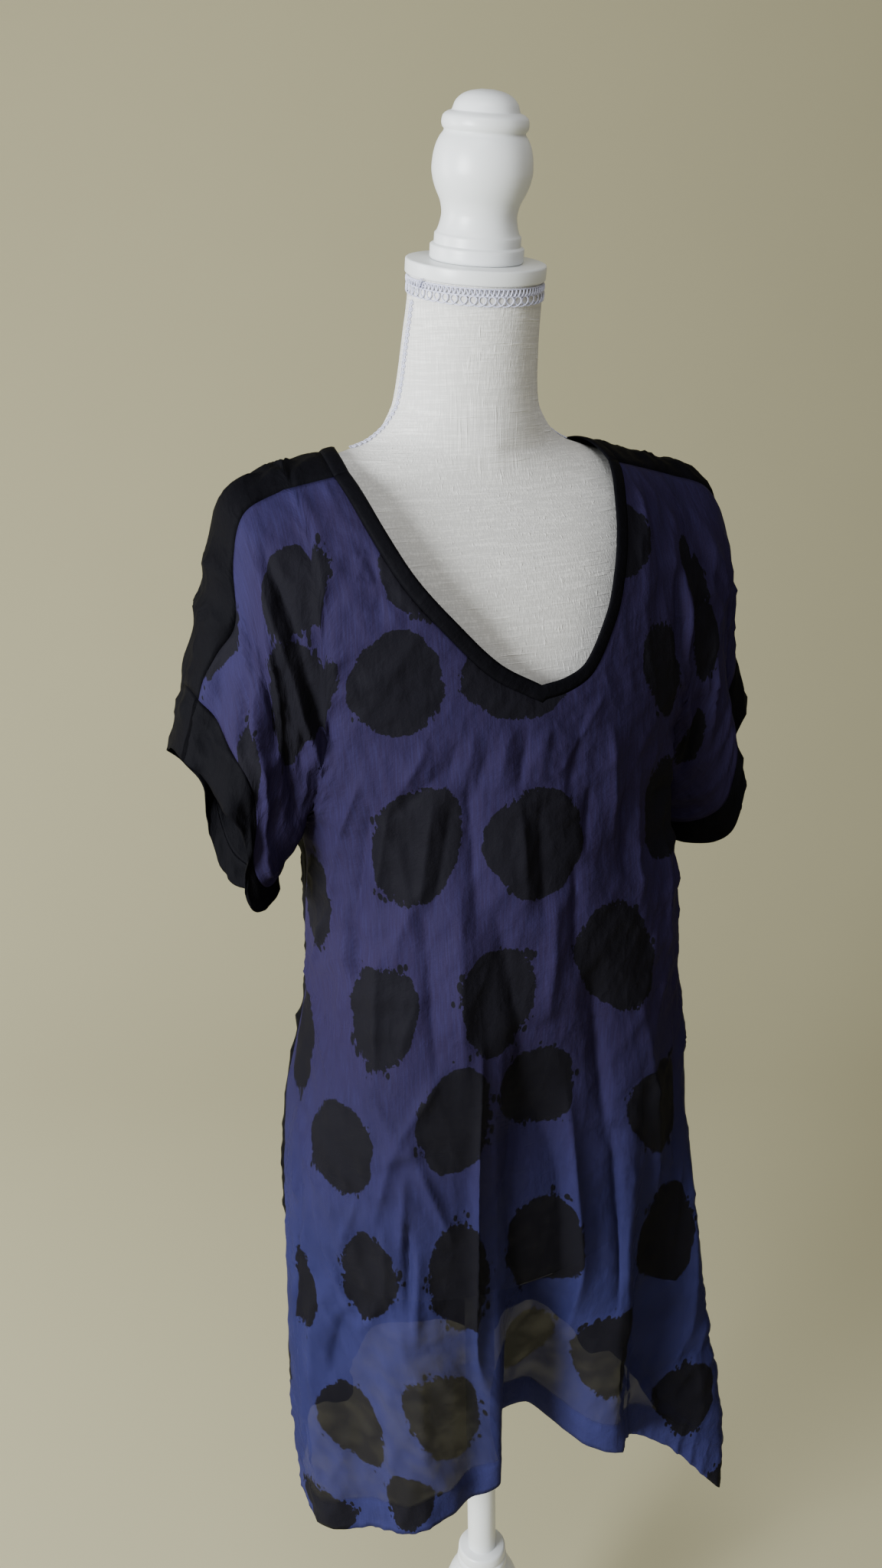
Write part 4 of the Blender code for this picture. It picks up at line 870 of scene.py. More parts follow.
def cuff_cloth(side):
    """Closed band round the hem of a sleeve."""
    cloth = Cloth()
    front, back = (ring_turns(half, CUFF_STEPS, side, CUFF_START) for half in (True, False))
    turn = np.concatenate([front, back[-2:0:-1]])
    rings = [sleeve_point(side, mix(CUFF_START, 1.0, i / CUFF_ROWS), turn) for i in range(CUFF_ROWS + 1)]
    run = lengths_along(rings[0])
    flats = [np.stack([run, 0 * run], -1)]
    for last, ring in zip(rings, rings[1:]):
        flats.append(flats[-1].copy())
        flats[-1][:, 1] -= np.linalg.norm(ring - last, axis=-1)
    index = cloth.add(rings, flats)
    index = np.concatenate([index, index[:, :1]], axis=1)
    middle = rings[CUFF_ROWS // 2].mean(axis=0)
    cloth.grid(index, lambda points: points - middle)
    cloth.seams += list(index[0])
    cloth.hems += list(index[-1])
    return cloth


def neckband_cloth(front):
    """Half of the band round the neck, crowned across its width."""
    cloth = Cloth()
    widths = [BAND * i / BAND_ROWS for i in range(BAND_ROWS)] + [BAND + BAND_LAP]
    rows = [upper_point(*neck_row(front, BAND_COLUMNS, width)) for width in widths]
    run = lengths_along(rows[0])
    index = cloth.add(rows, [np.stack([run, np.full(len(run), width)], -1) for width in widths])
    cloth.grid(index, from_axis)
    cloth.seams += list(index[:, 0]) + list(index[:, -1])
    crown = [BAND_CROWN * (1 - abs(2 * i / BAND_ROWS - 1) ** 4) for i in range(BAND_ROWS)]
    cloth.push(np.repeat(crown + [-SEAM_DIP / 2], len(run)))
    return cloth


# -------------------------------------------------------------------- creases
def creases(flat, rows):
    """Height of the listed creases at places in the flat cloth; each fades out at both ends."""
    total = np.zeros(len(flat))
    for row in rows:
        u0, v0, u1, v1, half, height = np.array(row) * MM
        start, run = np.array([u0, v0]), np.array([u1 - u0, v1 - v0])
        along = (flat - start) @ run / (run @ run)
        away = np.linalg.norm(flat - start - np.clip(along, 0, 1)[:, None] * run, axis=1)
        fade = np.sin(math.pi * np.clip(mix(CREASE_END, 1 - CREASE_END, along), 0.0, 1.0)) ** CREASE_FADE
        total += height * fade * np.exp(-(away / half) ** CREASE_ROUND)
    return total


def crumple(flat, seed, height):
    """Small uneven creases: patches of straight ridges that run in many directions."""
    random = np.random.RandomState(seed)
    u, v = flat[:, 0], flat[:, 1]
    total = np.zeros(len(flat))
    for k in range(CRUMPLE_FAMILIES):
        lean = random.uniform(0, math.pi)
        size = random.uniform(*CRUMPLE_SIZES)
        wander = CRUMPLE_WANDER * (lattice_noise(u, v, CRUMPLE_BEND, seed + k) - 0.5)
        along = (u * math.cos(lean) + v * math.sin(lean)) / size + wander + random.rand()
        ridges = np.abs(2 * (along - np.floor(along)) - 1) ** CRUMPLE_SHARP
        patch = ease(*CRUMPLE_PATCHES, lattice_noise(u, v, CRUMPLE_PATCH_SIZE, seed + CRUMPLE_PATCH_SEED + k))
        total += patch * (ridges - CRUMPLE_LEVEL) * size / CRUMPLE_SIZES[1]
    return height * total


def spot_edge(flat, rows):
    """Distance to the edge of the nearest spot, below zero inside it.

    Each spot has shallow corners of its own.
    """
    random = np.random.RandomState(SPOT_SEED)
    nearest = np.full(len(flat), SPOT_FAR)
    for row in rows:
        u, v, half_u, half_v = np.array(row[:4]) * MM
        lean, taper = math.radians(row[4]), row[5]
        du, dv = flat[:, 0] - u, flat[:, 1] - v
        s, c = math.sin(lean), math.cos(lean)
        b = (-du * s + dv * c) / half_v
        a = (du * c + dv * s) / half_u / (1 + taper * np.clip(b, -1, 1))
        around = np.arctan2(b, a)
        corners = sum(size * np.cos(number * around + random.uniform(0, SPOT_TURN))
                      for number, size in SPOT_CORNERS)
        nearest = np.minimum(nearest, (np.sqrt(a * a + b * b) - 1 - corners) * min(half_u, half_v))
    return nearest


# ------------------------------------------------------------ making the pieces
def placed(name, data):
    """A new object in the scene."""
    made = bpy.data.objects.new(name, data)
    bpy.context.scene.collection.objects.link(made)
    return made


def object_from(name, points, faces, flat=None, attributes=()):
    """A smooth mesh, with its flat cloth as UV map and numbers for its points as attributes."""
    mesh = bpy.data.meshes.new(name)
    mesh.from_pydata([tuple(p) for p in points], [], [tuple(int(i) for i in f) for f in faces])
    if flat is not None:
        layer = mesh.uv_layers.new(name="cloth")
        corners = np.zeros(len(mesh.loops), int)
        mesh.loops.foreach_get("vertex_index", corners)
        layer.data.foreach_set("uv", np.asarray(flat, float)[corners].ravel())
    for label, values in attributes:
        mesh.attributes.new(label, "FLOAT", "POINT").data.foreach_set("value", np.asarray(values, float))
    mesh.shade_smooth()
    return placed(name, mesh)


def only(made):
    """Select one object and make it active."""
    bpy.ops.object.select_all(action="DESELECT")
    made.select_set(True)
    bpy.context.view_layer.objects.active = made


def apply_modifier(made, kind, **settings):
    only(made)
    modifier = made.modifiers.new(kind.title(), kind)
    for key, value in settings.items():
        setattr(modifier, key, value)
    bpy.ops.object.modifier_apply(modifier=modifier.name)


def dressed(made, finish, node):
    """Give a piece its finish and its body, and hide the solid it stands for."""
    made.data.materials.append(finish)
    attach(made, "root")
    if node:
        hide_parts(node)


def cloth_object(name, cloth, finish, node, attributes=()):
    """A thin shell of cloth that stands for its solid."""
    made = object_from(name, cloth.points, cloth.faces, cloth.flat, attributes)
    apply_modifier(made, "SOLIDIFY", thickness=bpy.context.scene.tunic_cloth.wall, offset=-1.0, use_rim=True)
    dressed(made, finish, node)
    return made


# ------------------------------------------------------------------------ form
def neck_frame(z):
    """Place of a section of the form: the neck leans forward as it rises."""
    lean = NECK_LEAN * float(ease(*NECK_LEAN_HEIGHTS, z))
    return Matrix.Translation((0, float(table(FORM_MIDDLE, z, 1)), z)) @ Matrix.Rotation(lean, 4, "X")


def form_ring(z, angles, outset=0.0):
    """Points of a section of the form at angles from the front."""
    width, front, back, square = (float(table(FORM_ROWS, z, column)) for column in (1, 2, 3, 4))
    x, y, _ = section(angles, width + outset, front + outset, back + outset, square)
    tilt = SHOULDER_TILT * float(ease(ARMPIT_Z, RIDGE_Z, z) * (1 - ease(*FORM_TILT, z)))
    place = np.array(neck_frame(z))
    return np.stack([x, y, -tilt * x], -1) @ place[:3, :3].T + place[:3, 3]


def on_form(z, angles, outset):
    """Points of the form where every angle has its own height and outset."""
    rows = zip(*np.broadcast_arrays(z, angles, outset))
    return np.array([form_ring(float(h), np.array([a]), float(o))[0] for h, a, o in rows])


def form_heights(steps):
    """Heights of the form's sections, with a number of steps between the rows of its table."""
    keys = [row[0] for row in FORM_ROWS]
    rows = np.linspace(0, len(keys) - 1, (len(keys) - 1) * steps + 1)
    return np.interp(rows, np.arange(len(keys)), keys)


def closed_loft(rings):
    """Points and faces of a closed skin over rings, with a cap at both ends."""
    count = len(rings[0])
    last = (len(rings) - 1) * count
    faces = [tuple(reversed(range(count))), tuple(range(last, last + count))]
    for first in range(0, last, count):
        for k in range(count):
            a, b = first + k, first + (k + 1) % count
            faces.append((a, b, b + count, a + count))
    return np.concatenate(rings), faces


def thread_object(name, runs, radius, finish, node, closed=False):
    """Runs of round thread as one mesh."""
    curve = bpy.data.curves.new(name, "CURVE")
    curve.dimensions = "3D"
    curve.bevel_depth = radius
    curve.bevel_resolution = 1
    curve.use_fill_caps = not closed
    for points in runs:
        spline = curve.splines.new("POLY")
        spline.points.add(len(points) - 1)
        spline.points.foreach_set("co", np.insert(points, 3, 1.0, axis=1).ravel())
        spline.use_cyclic_u = closed
    made = placed(name, curve)
    only(made)
    bpy.ops.object.convert(target="MESH")
    made.data.shade_smooth()
    dressed(made, finish, node)


def turned_piece(name, profile, sides, finish, node, place=Matrix.Identity(4), bevel=0.0):
    """Wood turned on a lathe: a ring extruded up through rows of height and radius."""
    bpy.ops.object.select_all(action="DESELECT")
    height, radius = profile[0]
    bpy.ops.mesh.primitive_circle_add(vertices=sides, radius=radius, location=(0, 0, height),
                                      fill_type="NGON")
    made = bpy.context.active_object
    made.name = made.data.name = name
    bpy.ops.object.mode_set(mode="EDIT")
    bpy.ops.mesh.select_all(action="SELECT")
    bpy.ops.mesh.flip_normals()
    bpy.ops.mesh.select_mode(type="EDGE")
    bpy.ops.mesh.select_all(action="DESELECT")
    bpy.ops.mesh.select_non_manifold()
    for next_height, next_radius in profile[1:]:
        grown = next_radius / radius
        bpy.ops.mesh.extrude_edges_move(TRANSFORM_OT_translate={"value": (0.0, 0.0, next_height - height)})
        bpy.ops.transform.resize(value=(grown, grown, 1.0), center_override=(0.0, 0.0, next_height))
        height, radius = next_height, next_radius
    bpy.ops.mesh.edge_face_add()
    bpy.ops.mesh.select_all(action="SELECT")
    bpy.ops.mesh.normals_make_consistent(inside=False)
    bpy.ops.object.mode_set(mode="OBJECT")
    if bevel:
        apply_modifier(made, "BEVEL", width=bevel, segments=BEVEL_SEGMENTS, limit_method="ANGLE",
                       angle_limit=BEVEL_ANGLE)
    made.matrix_world = place @ made.matrix_world
    only(made)
    bpy.ops.object.transform_apply(location=True, rotation=True, scale=True)
    bpy.ops.object.shade_smooth_by_angle(angle=SMOOTH_ANGLE)
    dressed(made, finish, node)


def rounded_profile(rows, lift=0.0):
    """Rows of a turned profile with an even curve between them, which never swings past them."""
    heights, radii = np.array(rows).T
    rises = np.diff(radii) / np.diff(heights)
    same = rises[1:] * rises[:-1] > 0
    slopes = np.zeros(len(radii))
    slopes[1:-1][same] = 2 * (rises[1:] * rises[:-1])[same] / (rises[1:] + rises[:-1])[same]
    slopes[-1] = rises[-1]
    between = mix(heights[:-1, None], heights[1:, None], np.arange(PROFILE_STEPS) / PROFILE_STEPS)
    at = np.append(between.ravel(), heights[-1])
    return list(zip((at + lift).tolist(), hermite(heights, radii, slopes, at).tolist()))


# --------------------------------------------------------------------- finishes
def both_ways(operation):
    """A sum written with a Value on its left, and the same with it on its right."""
    return (lambda value, other: value.sum_with(operation, value, other),
            lambda value, other: value.sum_with(operation, other, value))


class Value:
    """A number from a node, which sums can be written with."""

    def __init__(self, finish, socket):
        self.finish, self.socket = finish, socket

    def sum_with(self, operation, first, second=0.0):
        return self.finish.node("ShaderNodeMath", {"operation": operation}, {0: first, 1: second})

    __add__, __radd__ = both_ways("ADD")
    __sub__, __rsub__ = both_ways("SUBTRACT")
    __mul__, __rmul__ = both_ways("MULTIPLY")

    def __abs__(self):
        return self.sum_with("ABSOLUTE", self)

    def step(self, edge_0, edge_1):
        """0 at edge_0, 1 at edge_1, smooth between."""
        return self.finish.node("ShaderNodeMapRange", {"interpolation_type": "SMOOTHSTEP"},
                                {"Value": self, "From Min": edge_0, "From Max": edge_1,
                                 "To Min": 0.0, "To Max": 1.0})


class Finish:
    """A Principled material and the nodes that vary it."""

    def __init__(self, name, colour, roughness, **fixed):
        self.material = bpy.data.materials.new(name)
        self.material.use_nodes = True
        self.tree = self.material.node_tree
        self.shader = self.tree.nodes["Principled BSDF"]
        self.set("Base Color", (*colour, 1.0))
        self.set("Roughness", roughness)
        for label, value in fixed.items():
            self.set(label.replace("_", " "), value)
        self.material.diffuse_color = (*colour, 1.0)

    def set(self, label, value):
        self.feed(self.shader.inputs[label], value)

    def feed(self, socket, value):
        if isinstance(value, Value):
            self.tree.links.new(value.socket, socket)
        else:
            socket.default_value = value

    def node(self, kind, settings=None, inputs=None, output=0):
        made = self.tree.nodes.new(kind)
        for label, value in (settings or {}).items():
            setattr(made, label, value)
        for label, value in (inputs or {}).items():
            self.feed(made.inputs[label], value)
        return Value(self, made.outputs[output])

    def cloth_place(self):
        return self.node("ShaderNodeUVMap", {"uv_map": "cloth"})

    def object_place(self):
        return self.node("ShaderNodeTexCoord", output="Object")

    def attribute(self, name):
        return self.node("ShaderNodeAttribute", {"attribute_name": name}, output="Fac")

    def stretched(self, place, scale):
        return self.node("ShaderNodeMapping", {}, {"Vector": place, "Scale": scale})

    def noise(self, place, scale, detail=2.0, roughness=0.5):
        """Noise from 0 to 1; three numbers as its scale draw it out."""
        if isinstance(scale, tuple):
            place, scale = self.stretched(place, scale), 1.0
        return self.node("ShaderNodeTexNoise", {}, {"Vector": place, "Scale": scale, "Detail": detail,
                                                    "Roughness": roughness})

    def mixed(self, factor, first, second):
        """A colour between two, by a factor."""
        first, second = (c if isinstance(c, Value) or len(c) == 4 else (*c, 1.0) for c in (first, second))
        return self.node("ShaderNodeMix", {"data_type": "RGBA"}, {0: factor, 6: first, 7: second}, output=2)

    def bump(self, height, distance, strength=1.0):
        self.set("Normal", self.node("ShaderNodeBump", {}, {"Height": height, "Distance": distance,
                                                            "Strength": strength}))


def shade(colour, share):
    return tuple(c * share for c in colour)


def viscose(name, colour, settings, printed):
    """Thin matt viscose; the printed one carries ragged spots, and both let a little light through."""
    finish = Finish(name, colour, 0.75, Specular_IOR_Level=0.025)
    place = finish.cloth_place()
    clouds = finish.noise(place, 16.0, detail=3.0)
    threads = finish.noise(place, (900.0, 40.0, 1.0))
    creased = abs(finish.noise(place, 42.0, detail=5.0, roughness=0.6) - 0.5)
    falls = abs(finish.noise(place, (30.0, 9.0, 1.0), detail=3.0) - 0.5)
    ground = finish.mixed(clouds.step(0.25, 0.75), shade(colour, 0.88), shade(colour, 1.14))
    if printed:
        # Painted shade: the ground turns darker and more violet over the chest and middle, a tone of the
        # print with the chest's shade painted in.
        height = finish.node("ShaderNodeSeparateXYZ", {}, {0: place}, output="Y") + clouds * 0.08
        chest = height.step(*VIOLET_SHADE_FOOT) * height.step(*VIOLET_SHADE_TOP)
        ground = finish.mixed(chest, ground, settings.violet_shade)
    ground = finish.mixed(threads.step(0.35, 0.8) * 0.18, ground, shade(colour, 1.7))
    if printed:
        ground = finish.mixed(ink_and_shade_mask(finish, place, settings.ink_rag), ground, settings.ink)
    finish.set("Base Color", ground)
    finish.set("Roughness", creased * 0.3 + 0.62)
    grain = finish.noise(place, 2600.0, detail=1.0)
    finish.bump(grain * 0.04 - creased - falls * 1.6, distance=0.0030, strength=0.75)
    cover = finish.attribute("cover")
    veil = abs(finish.noise(place, 22.0, detail=3.0) - 0.5).step(0.16, 0.0) * VEIL
    finish.set("Alpha", cover + (1.0 - cover) * veil)
    return finish.material


def ink_and_shade_mask(finish, place, rag):
    """1 inside the spots, the printed ones and one of painted shade, with a ragged brushed edge and flecks
    round it.
    """
    edge = finish.attribute("spot")
    brushed = finish.stretched(place, (1.0, 0.5, 1.0))
    wander = finish.noise(place, 60.0, detail=4.0, roughness=0.62) - 0.5
    torn = finish.noise(brushed, 330.0, roughness=0.6) - 0.5
    rough_parts = finish.noise(place, 30.0, detail=1.0).step(0.42, 0.62)
    wandering = edge + wander * rag
    body = (wandering + torn * (rough_parts * (rag * 1.4) + rag * 0.35)).step(INK_EDGE, -INK_EDGE)
    cells = finish.node("ShaderNodeTexVoronoi", {}, {"Vector": brushed, "Scale": 170.0}, output="Distance")
    ring = wandering.step(*FLECK_REACH) * rough_parts
    flecks = (cells + (1.0 - ring) * 0.6).step(0.46, 0.40)
    return body.sum_with("MAXIMUM", body, flecks)


def linen(name, colour):
    """Slubbed off-white linen stretched over padding."""
    finish = Finish(name, colour, 0.9, Sheen_Weight=0.08)
    place = finish.object_place()
    down = finish.noise(place, (800.0, 800.0, 26.0), detail=3.0, roughness=0.6)
    across = finish.noise(place, (34.0, 34.0, 900.0), detail=3.0, roughness=0.6)
    slubs = finish.noise(place, (30.0, 30.0, 420.0), detail=1.0).step(0.60, 0.78)
    posts = finish.noise(place, (430.0, 430.0, 20.0), detail=1.0).step(0.62, 0.80)
    base = finish.mixed(finish.noise(place, 9.0).step(0.3, 0.7), shade(colour, 0.95), shade(colour, 1.04))
    base = finish.mixed((down + across - 0.9).step(0.0, 0.4), shade(colour, 0.74), base)
    base = finish.mixed((slubs + posts) * 0.35, base, shade(colour, 1.22))
    finish.set("Base Color", base)
    finish.bump(down * 0.5 + across * 0.5 + slubs * 0.5 + posts * 0.4, distance=0.0010, strength=0.8)
    return finish.material


def gimp(name, colour):
    """Twisted shiny thread of the braid."""
    finish = Finish(name, colour, 0.5, Sheen_Weight=0.25)
    twist = finish.noise(finish.object_place(), 1500.0, detail=1.0)
    finish.set("Base Color", finish.mixed(twist.step(0.35, 0.65), shade(colour, 0.82), shade(colour, 1.12)))
    finish.bump(twist, distance=0.0003, strength=0.8)
    return finish.material


def painted_wood(name, colour):
    """Satin white paint over turned wood, with faint turning lines and brush marks."""
    finish = Finish(name, colour, 0.34, Coat_Weight=0.15, Coat_Roughness=0.25)
    place = finish.object_place()
    lines = finish.noise(place, (3.0, 3.0, 300.0), detail=3.0)
    clouds = finish.noise(place, 22.0, detail=3.0)
    finish.set("Base Color", finish.mixed(clouds.step(0.3, 0.75), shade(colour, 0.95), colour))
    finish.set("Roughness", clouds * 0.16 + 0.27)
    finish.bump(lines * 0.5 + clouds * 0.5, distance=0.0004, strength=0.35)
    return finish.material


def matt_paint(name, colour):
    """Plain matt floor and backdrop."""
    finish = Finish(name, colour, 0.95, Specular_IOR_Level=0.2)
    place = finish.object_place()
    clouds = finish.noise(place, 3.0)
    finish.set("Base Color", finish.mixed(clouds, shade(colour, 0.985), shade(colour, 1.015)))
    finish.bump(finish.noise(place, 600.0), distance=0.0003, strength=0.12)
    return finish.material


# -------------------------------------------------------------------- operators
def room_inside(cloth, wall):
    """How far each point of the cloth can sink before the cloth would touch the form."""
    form = bpy.data.objects["form_linen"].data
    corners = [vertex.co for vertex in form.vertices]
    tree = BVHTree.FromPolygons(corners, [tuple(face.vertices) for face in form.polygons])
    room = np.full(len(cloth.points), MOST_ROOM)
    for k, (point, normal) in enumerate(zip(cloth.points, cloth.normals())):
        distance = tree.ray_cast(Vector(point), Vector(-normal), MOST_ROOM)[3]
        if distance is not None:
            room[k] = max(0.0, distance - wall - FORM_CLEAR)
    return room


class TUNIC_OT_panels(bpy.types.Operator):
    """Front and back of the tunic, with their creases, spots and seams"""
    bl_idname = "tunic.panels"
    bl_label = "Front and back"

    def execute(self, context):
        settings = context.scene.tunic_cloth
        finish = viscose("indigo_print", settings.indigo, settings, True)
        cloth = self.creased(True, FRONT_CREASES, settings)
        self.make("tunic_front_cloth", cloth, finish, "tunic_front", "print_cloth", SPOTS_AND_SHADE, settings)
        finish = viscose("black_viscose", settings.black, settings, False)
        cloth = self.creased(False, BACK_CREASES, settings)
        self.make("tunic_back_cloth", cloth, finish, "tunic_back", "black_cloth", (), settings)
        return {"FINISHED"}

    @staticmethod
    def creased(front, rows, settings):
        """A panel pushed in and out, less near its middle and its seams, and clear of the form."""
        cloth = body_cloth(front)
        slack = mix(MIDDLE_SLACK, 1.0, ease(*SLACK_WIDTHS, np.abs(cloth.flat[:, 0])))
        small = crumple(cloth.flat, CRUMPLE_SEEDS[front], settings.crumple) * slack
        height = creases(cloth.flat, rows) * settings.relief + small
        height = cloth.beside_seams(height, PANEL_FADE)
        cloth.push(np.maximum(height, -room_inside(cloth, settings.wall)))
        return cloth

    @staticmethod
    def make(name, cloth, finish, node, slot, spots, settings):
        """The panel's shell, with the line of its hem sunk, its spots, and sheer cloth low down."""
        hem = cloth.distance_to(cloth.hems)
        sheer = ease(settings.hem_band - 2 * MM, settings.hem_band + MM, hem)
        cover = mix(1.0, settings.cover, sheer * ease(*SHEER_HEIGHTS, cloth.flat[:, 1]))
        cloth.push(-HEM_LINE * np.exp(-((hem - settings.hem_band) / HEM_LINE_HALF) ** 2))
        made = cloth_object(name, cloth, finish, node,
                            (("spot", spot_edge(cloth.flat, spots)), ("cover", cover)))
        width, height = np.ptp(cloth.flat, axis=0).tolist()
        min(cloth.area(), FULL_CUT * width * height)


class TUNIC_OT_bands(bpy.types.Operator):
    """Neckband in two lengths, and the cuffs of both sleeves"""
    bl_idname = "tunic.bands"
    bl_label = "Neckband and cuffs"

    def execute(self, context):
        settings = context.scene.tunic_cloth
        for name, front in (("neckband_front", True), ("neckband_back", False)):
            self.make(name, neckband_cloth(front), BAND + BAND_LAP)
        for name, side in (("cuff_right_arm", -1), ("cuff_left_arm", 1)):
            cloth = cuff_cloth(side)
            height = creases(cloth.flat, CUFF_CREASES[side])
            height = height + crumple(cloth.flat, CRUMPLE_SEEDS["cuffs"] + side, settings.crumple)
            cloth.push(cloth.beside_seams(height, CUFF_FADE))
            self.make(name, cloth, CUFF_DEPTH)
        return {"FINISHED"}

    @staticmethod
    def make(node, cloth, width):
        cover = np.ones(len(cloth.points))
        made = cloth_object(node + "_cloth", cloth, bpy.data.materials["black_viscose"], node,
                            (("cover", cover),))
        cloth.area() / width


class TUNIC_OT_form(bpy.types.Operator):
    """Linen-covered torso and neck of the form"""
    bl_idname = "tunic.form"
    bl_label = "Form"

    def execute(self, context):
        angles = np.linspace(0, 2 * math.pi, FORM_SIDES, endpoint=False)
        rings = [form_ring(z, angles) for z in form_heights(FORM_STEPS)]
        made = object_from("form_linen", *closed_loft(rings))
        made.data.set_sharp_from_angle(angle=SHARP_ANGLE)
        dressed(made, linen("linen", context.scene.tunic_form.linen), "form_torso")
        return {"FINISHED"}


class TUNIC_OT_braids(bpy.types.Operator):
    """Looped gimp braid round the neck and down its sides"""
    bl_idname = "tunic.braids"
    bl_label = "Braid"

    def execute(self, context):
        settings = context.scene.tunic_form
        finish = gimp("gimp_braid", settings.braid)
        self.neck(settings.thread, finish)
        self.down_the_side("side_braid_right", -1, settings.thread, finish)
        self.down_the_side("side_braid_left", 1, settings.thread, finish)
        self.knot(settings.thread, finish)
        return {"FINISHED"}

    @staticmethod
    def neck(radius, finish):
        """Two cords with a zigzag between them, over a row of round loops."""
        runs = []
        for turns, count, drop, wave, lift, lift_wave, swing in NECK_THREADS:
            angles = np.linspace(0, 2 * math.pi, count, endpoint=False)
            phase = angles * turns
            runs.append(on_form(NECK_TOP_Z - drop - wave * np.cos(phase), angles + swing * np.sin(phase),
                                radius * (lift + lift_wave * np.sin(phase))))
        thread_object("neck_gimp", runs, radius, finish, "neck_braid", closed=True)

    @staticmethod
    def down_the_side(name, side, radius, finish):
        """A narrow row of loops on a cord, along the side of the neck and the shoulder."""
        heights = np.linspace(NECK_TOP_Z - BRAID_HEIGHT - MM, SIDE_BRAID_FOOT[side], SIDE_SAMPLES)
        middle = on_form(heights, side * math.pi / 2, 0.0)
        run = lengths_along(middle)
        s = np.linspace(0, run[-1], int(run[-1] / SIDE_LOOP_PITCH) * SIDE_LOOP_POINTS)
        phase = s / SIDE_LOOP_PITCH * 2 * math.pi
        at = np.clip(s + SIDE_LOOP_SWING * np.sin(phase), 0, run[-1])
        out = unit(np.cross(np.gradient(middle, axis=0), (0.0, 1.0, 0.0)))
        out = out * np.sign(np.mean(out[:, 0])) * side

        def along(values):
            return np.stack([np.interp(at, run, values[:, k]) for k in range(3)], -1)
        base, lift = along(middle), along(out)
        high, wave = SIDE_LOOP_LIFT
        loops = base + lift * (radius * (high + wave * np.cos(phase)))[:, None]
        loops[:, 1] += SIDE_LOOP_WIDTH / 2 * np.cos(phase)
        cord = base + lift * radius * SIDE_CORD_LIFT
        thread_object(name + "_gimp", [loops, cord], radius * SIDE_THREAD, finish, name)

    @staticmethod
    def knot(radius, finish):
        """Loose thread ends where the braid was joined."""
        random = np.random.RandomState(KNOT_SEED)
        drop, away = KNOT_PLACE
        centre = on_form([NECK_TOP_Z - drop], KNOT_ANGLE, away)[0]
        out = unit(centre * (1.0, 1.0, 0.0) - (0.0, table(FORM_MIDDLE, NECK_TOP_Z, 1), 0.0))
        t = np.linspace(0, 1, 7)[:, None]
        runs = []
        outward, other = KNOT_SPREAD
        for _ in range(KNOT_ENDS):
            direction = unit(out * outward + random.normal(0, other, 3))
            bend = random.normal(0, KNOT_BEND, 3)
            reach = random.uniform(*KNOT_REACH)
            runs.append(centre + direction * reach * t + bend * t * t)
        thread_object("braid_knot", runs, radius * KNOT_THREAD, finish, None)


class TUNIC_OT_woodwork(bpy.types.Operator):
    """Neck cap, finial, pole, column and base, turned and painted"""
    bl_idname = "tunic.woodwork"
    bl_label = "Cap, finial and stand"

    def execute(self, context):
        settings = context.scene.tunic_form
        finish = painted_wood("white_paint", settings.paint)
        sides = settings.sides
        top = neck_frame(NECK_TOP_Z)
        cap = ((WOOD_GAP, CAP_RADIUS), (CAP_HEIGHT, CAP_RADIUS))
        pole = ((POLE_FOOT, POLE_RADIUS), (POLE_TOP, POLE_RADIUS))
        finial = rounded_profile(FINIAL, CAP_HEIGHT + WOOD_GAP)
        base = [(BASE_HEIGHT * height, BASE_RADIUS - inset) for height, inset in BASE_STEPS]
        turned_piece("neck_cap_paint", cap, sides, finish, "neck_cap", top, bevel=0.0014)
        turned_piece("finial_paint", finial, sides, finish, "finial", top)
        turned_piece("pole_paint", pole, sides, finish, "pole", bevel=0.0008)
        turned_piece("column_paint", rounded_profile(COLUMN), sides, finish, "stand_column")
        turned_piece("base_paint", base, sides * 2, finish, "base", bevel=0.002)
        return {"FINISHED"}


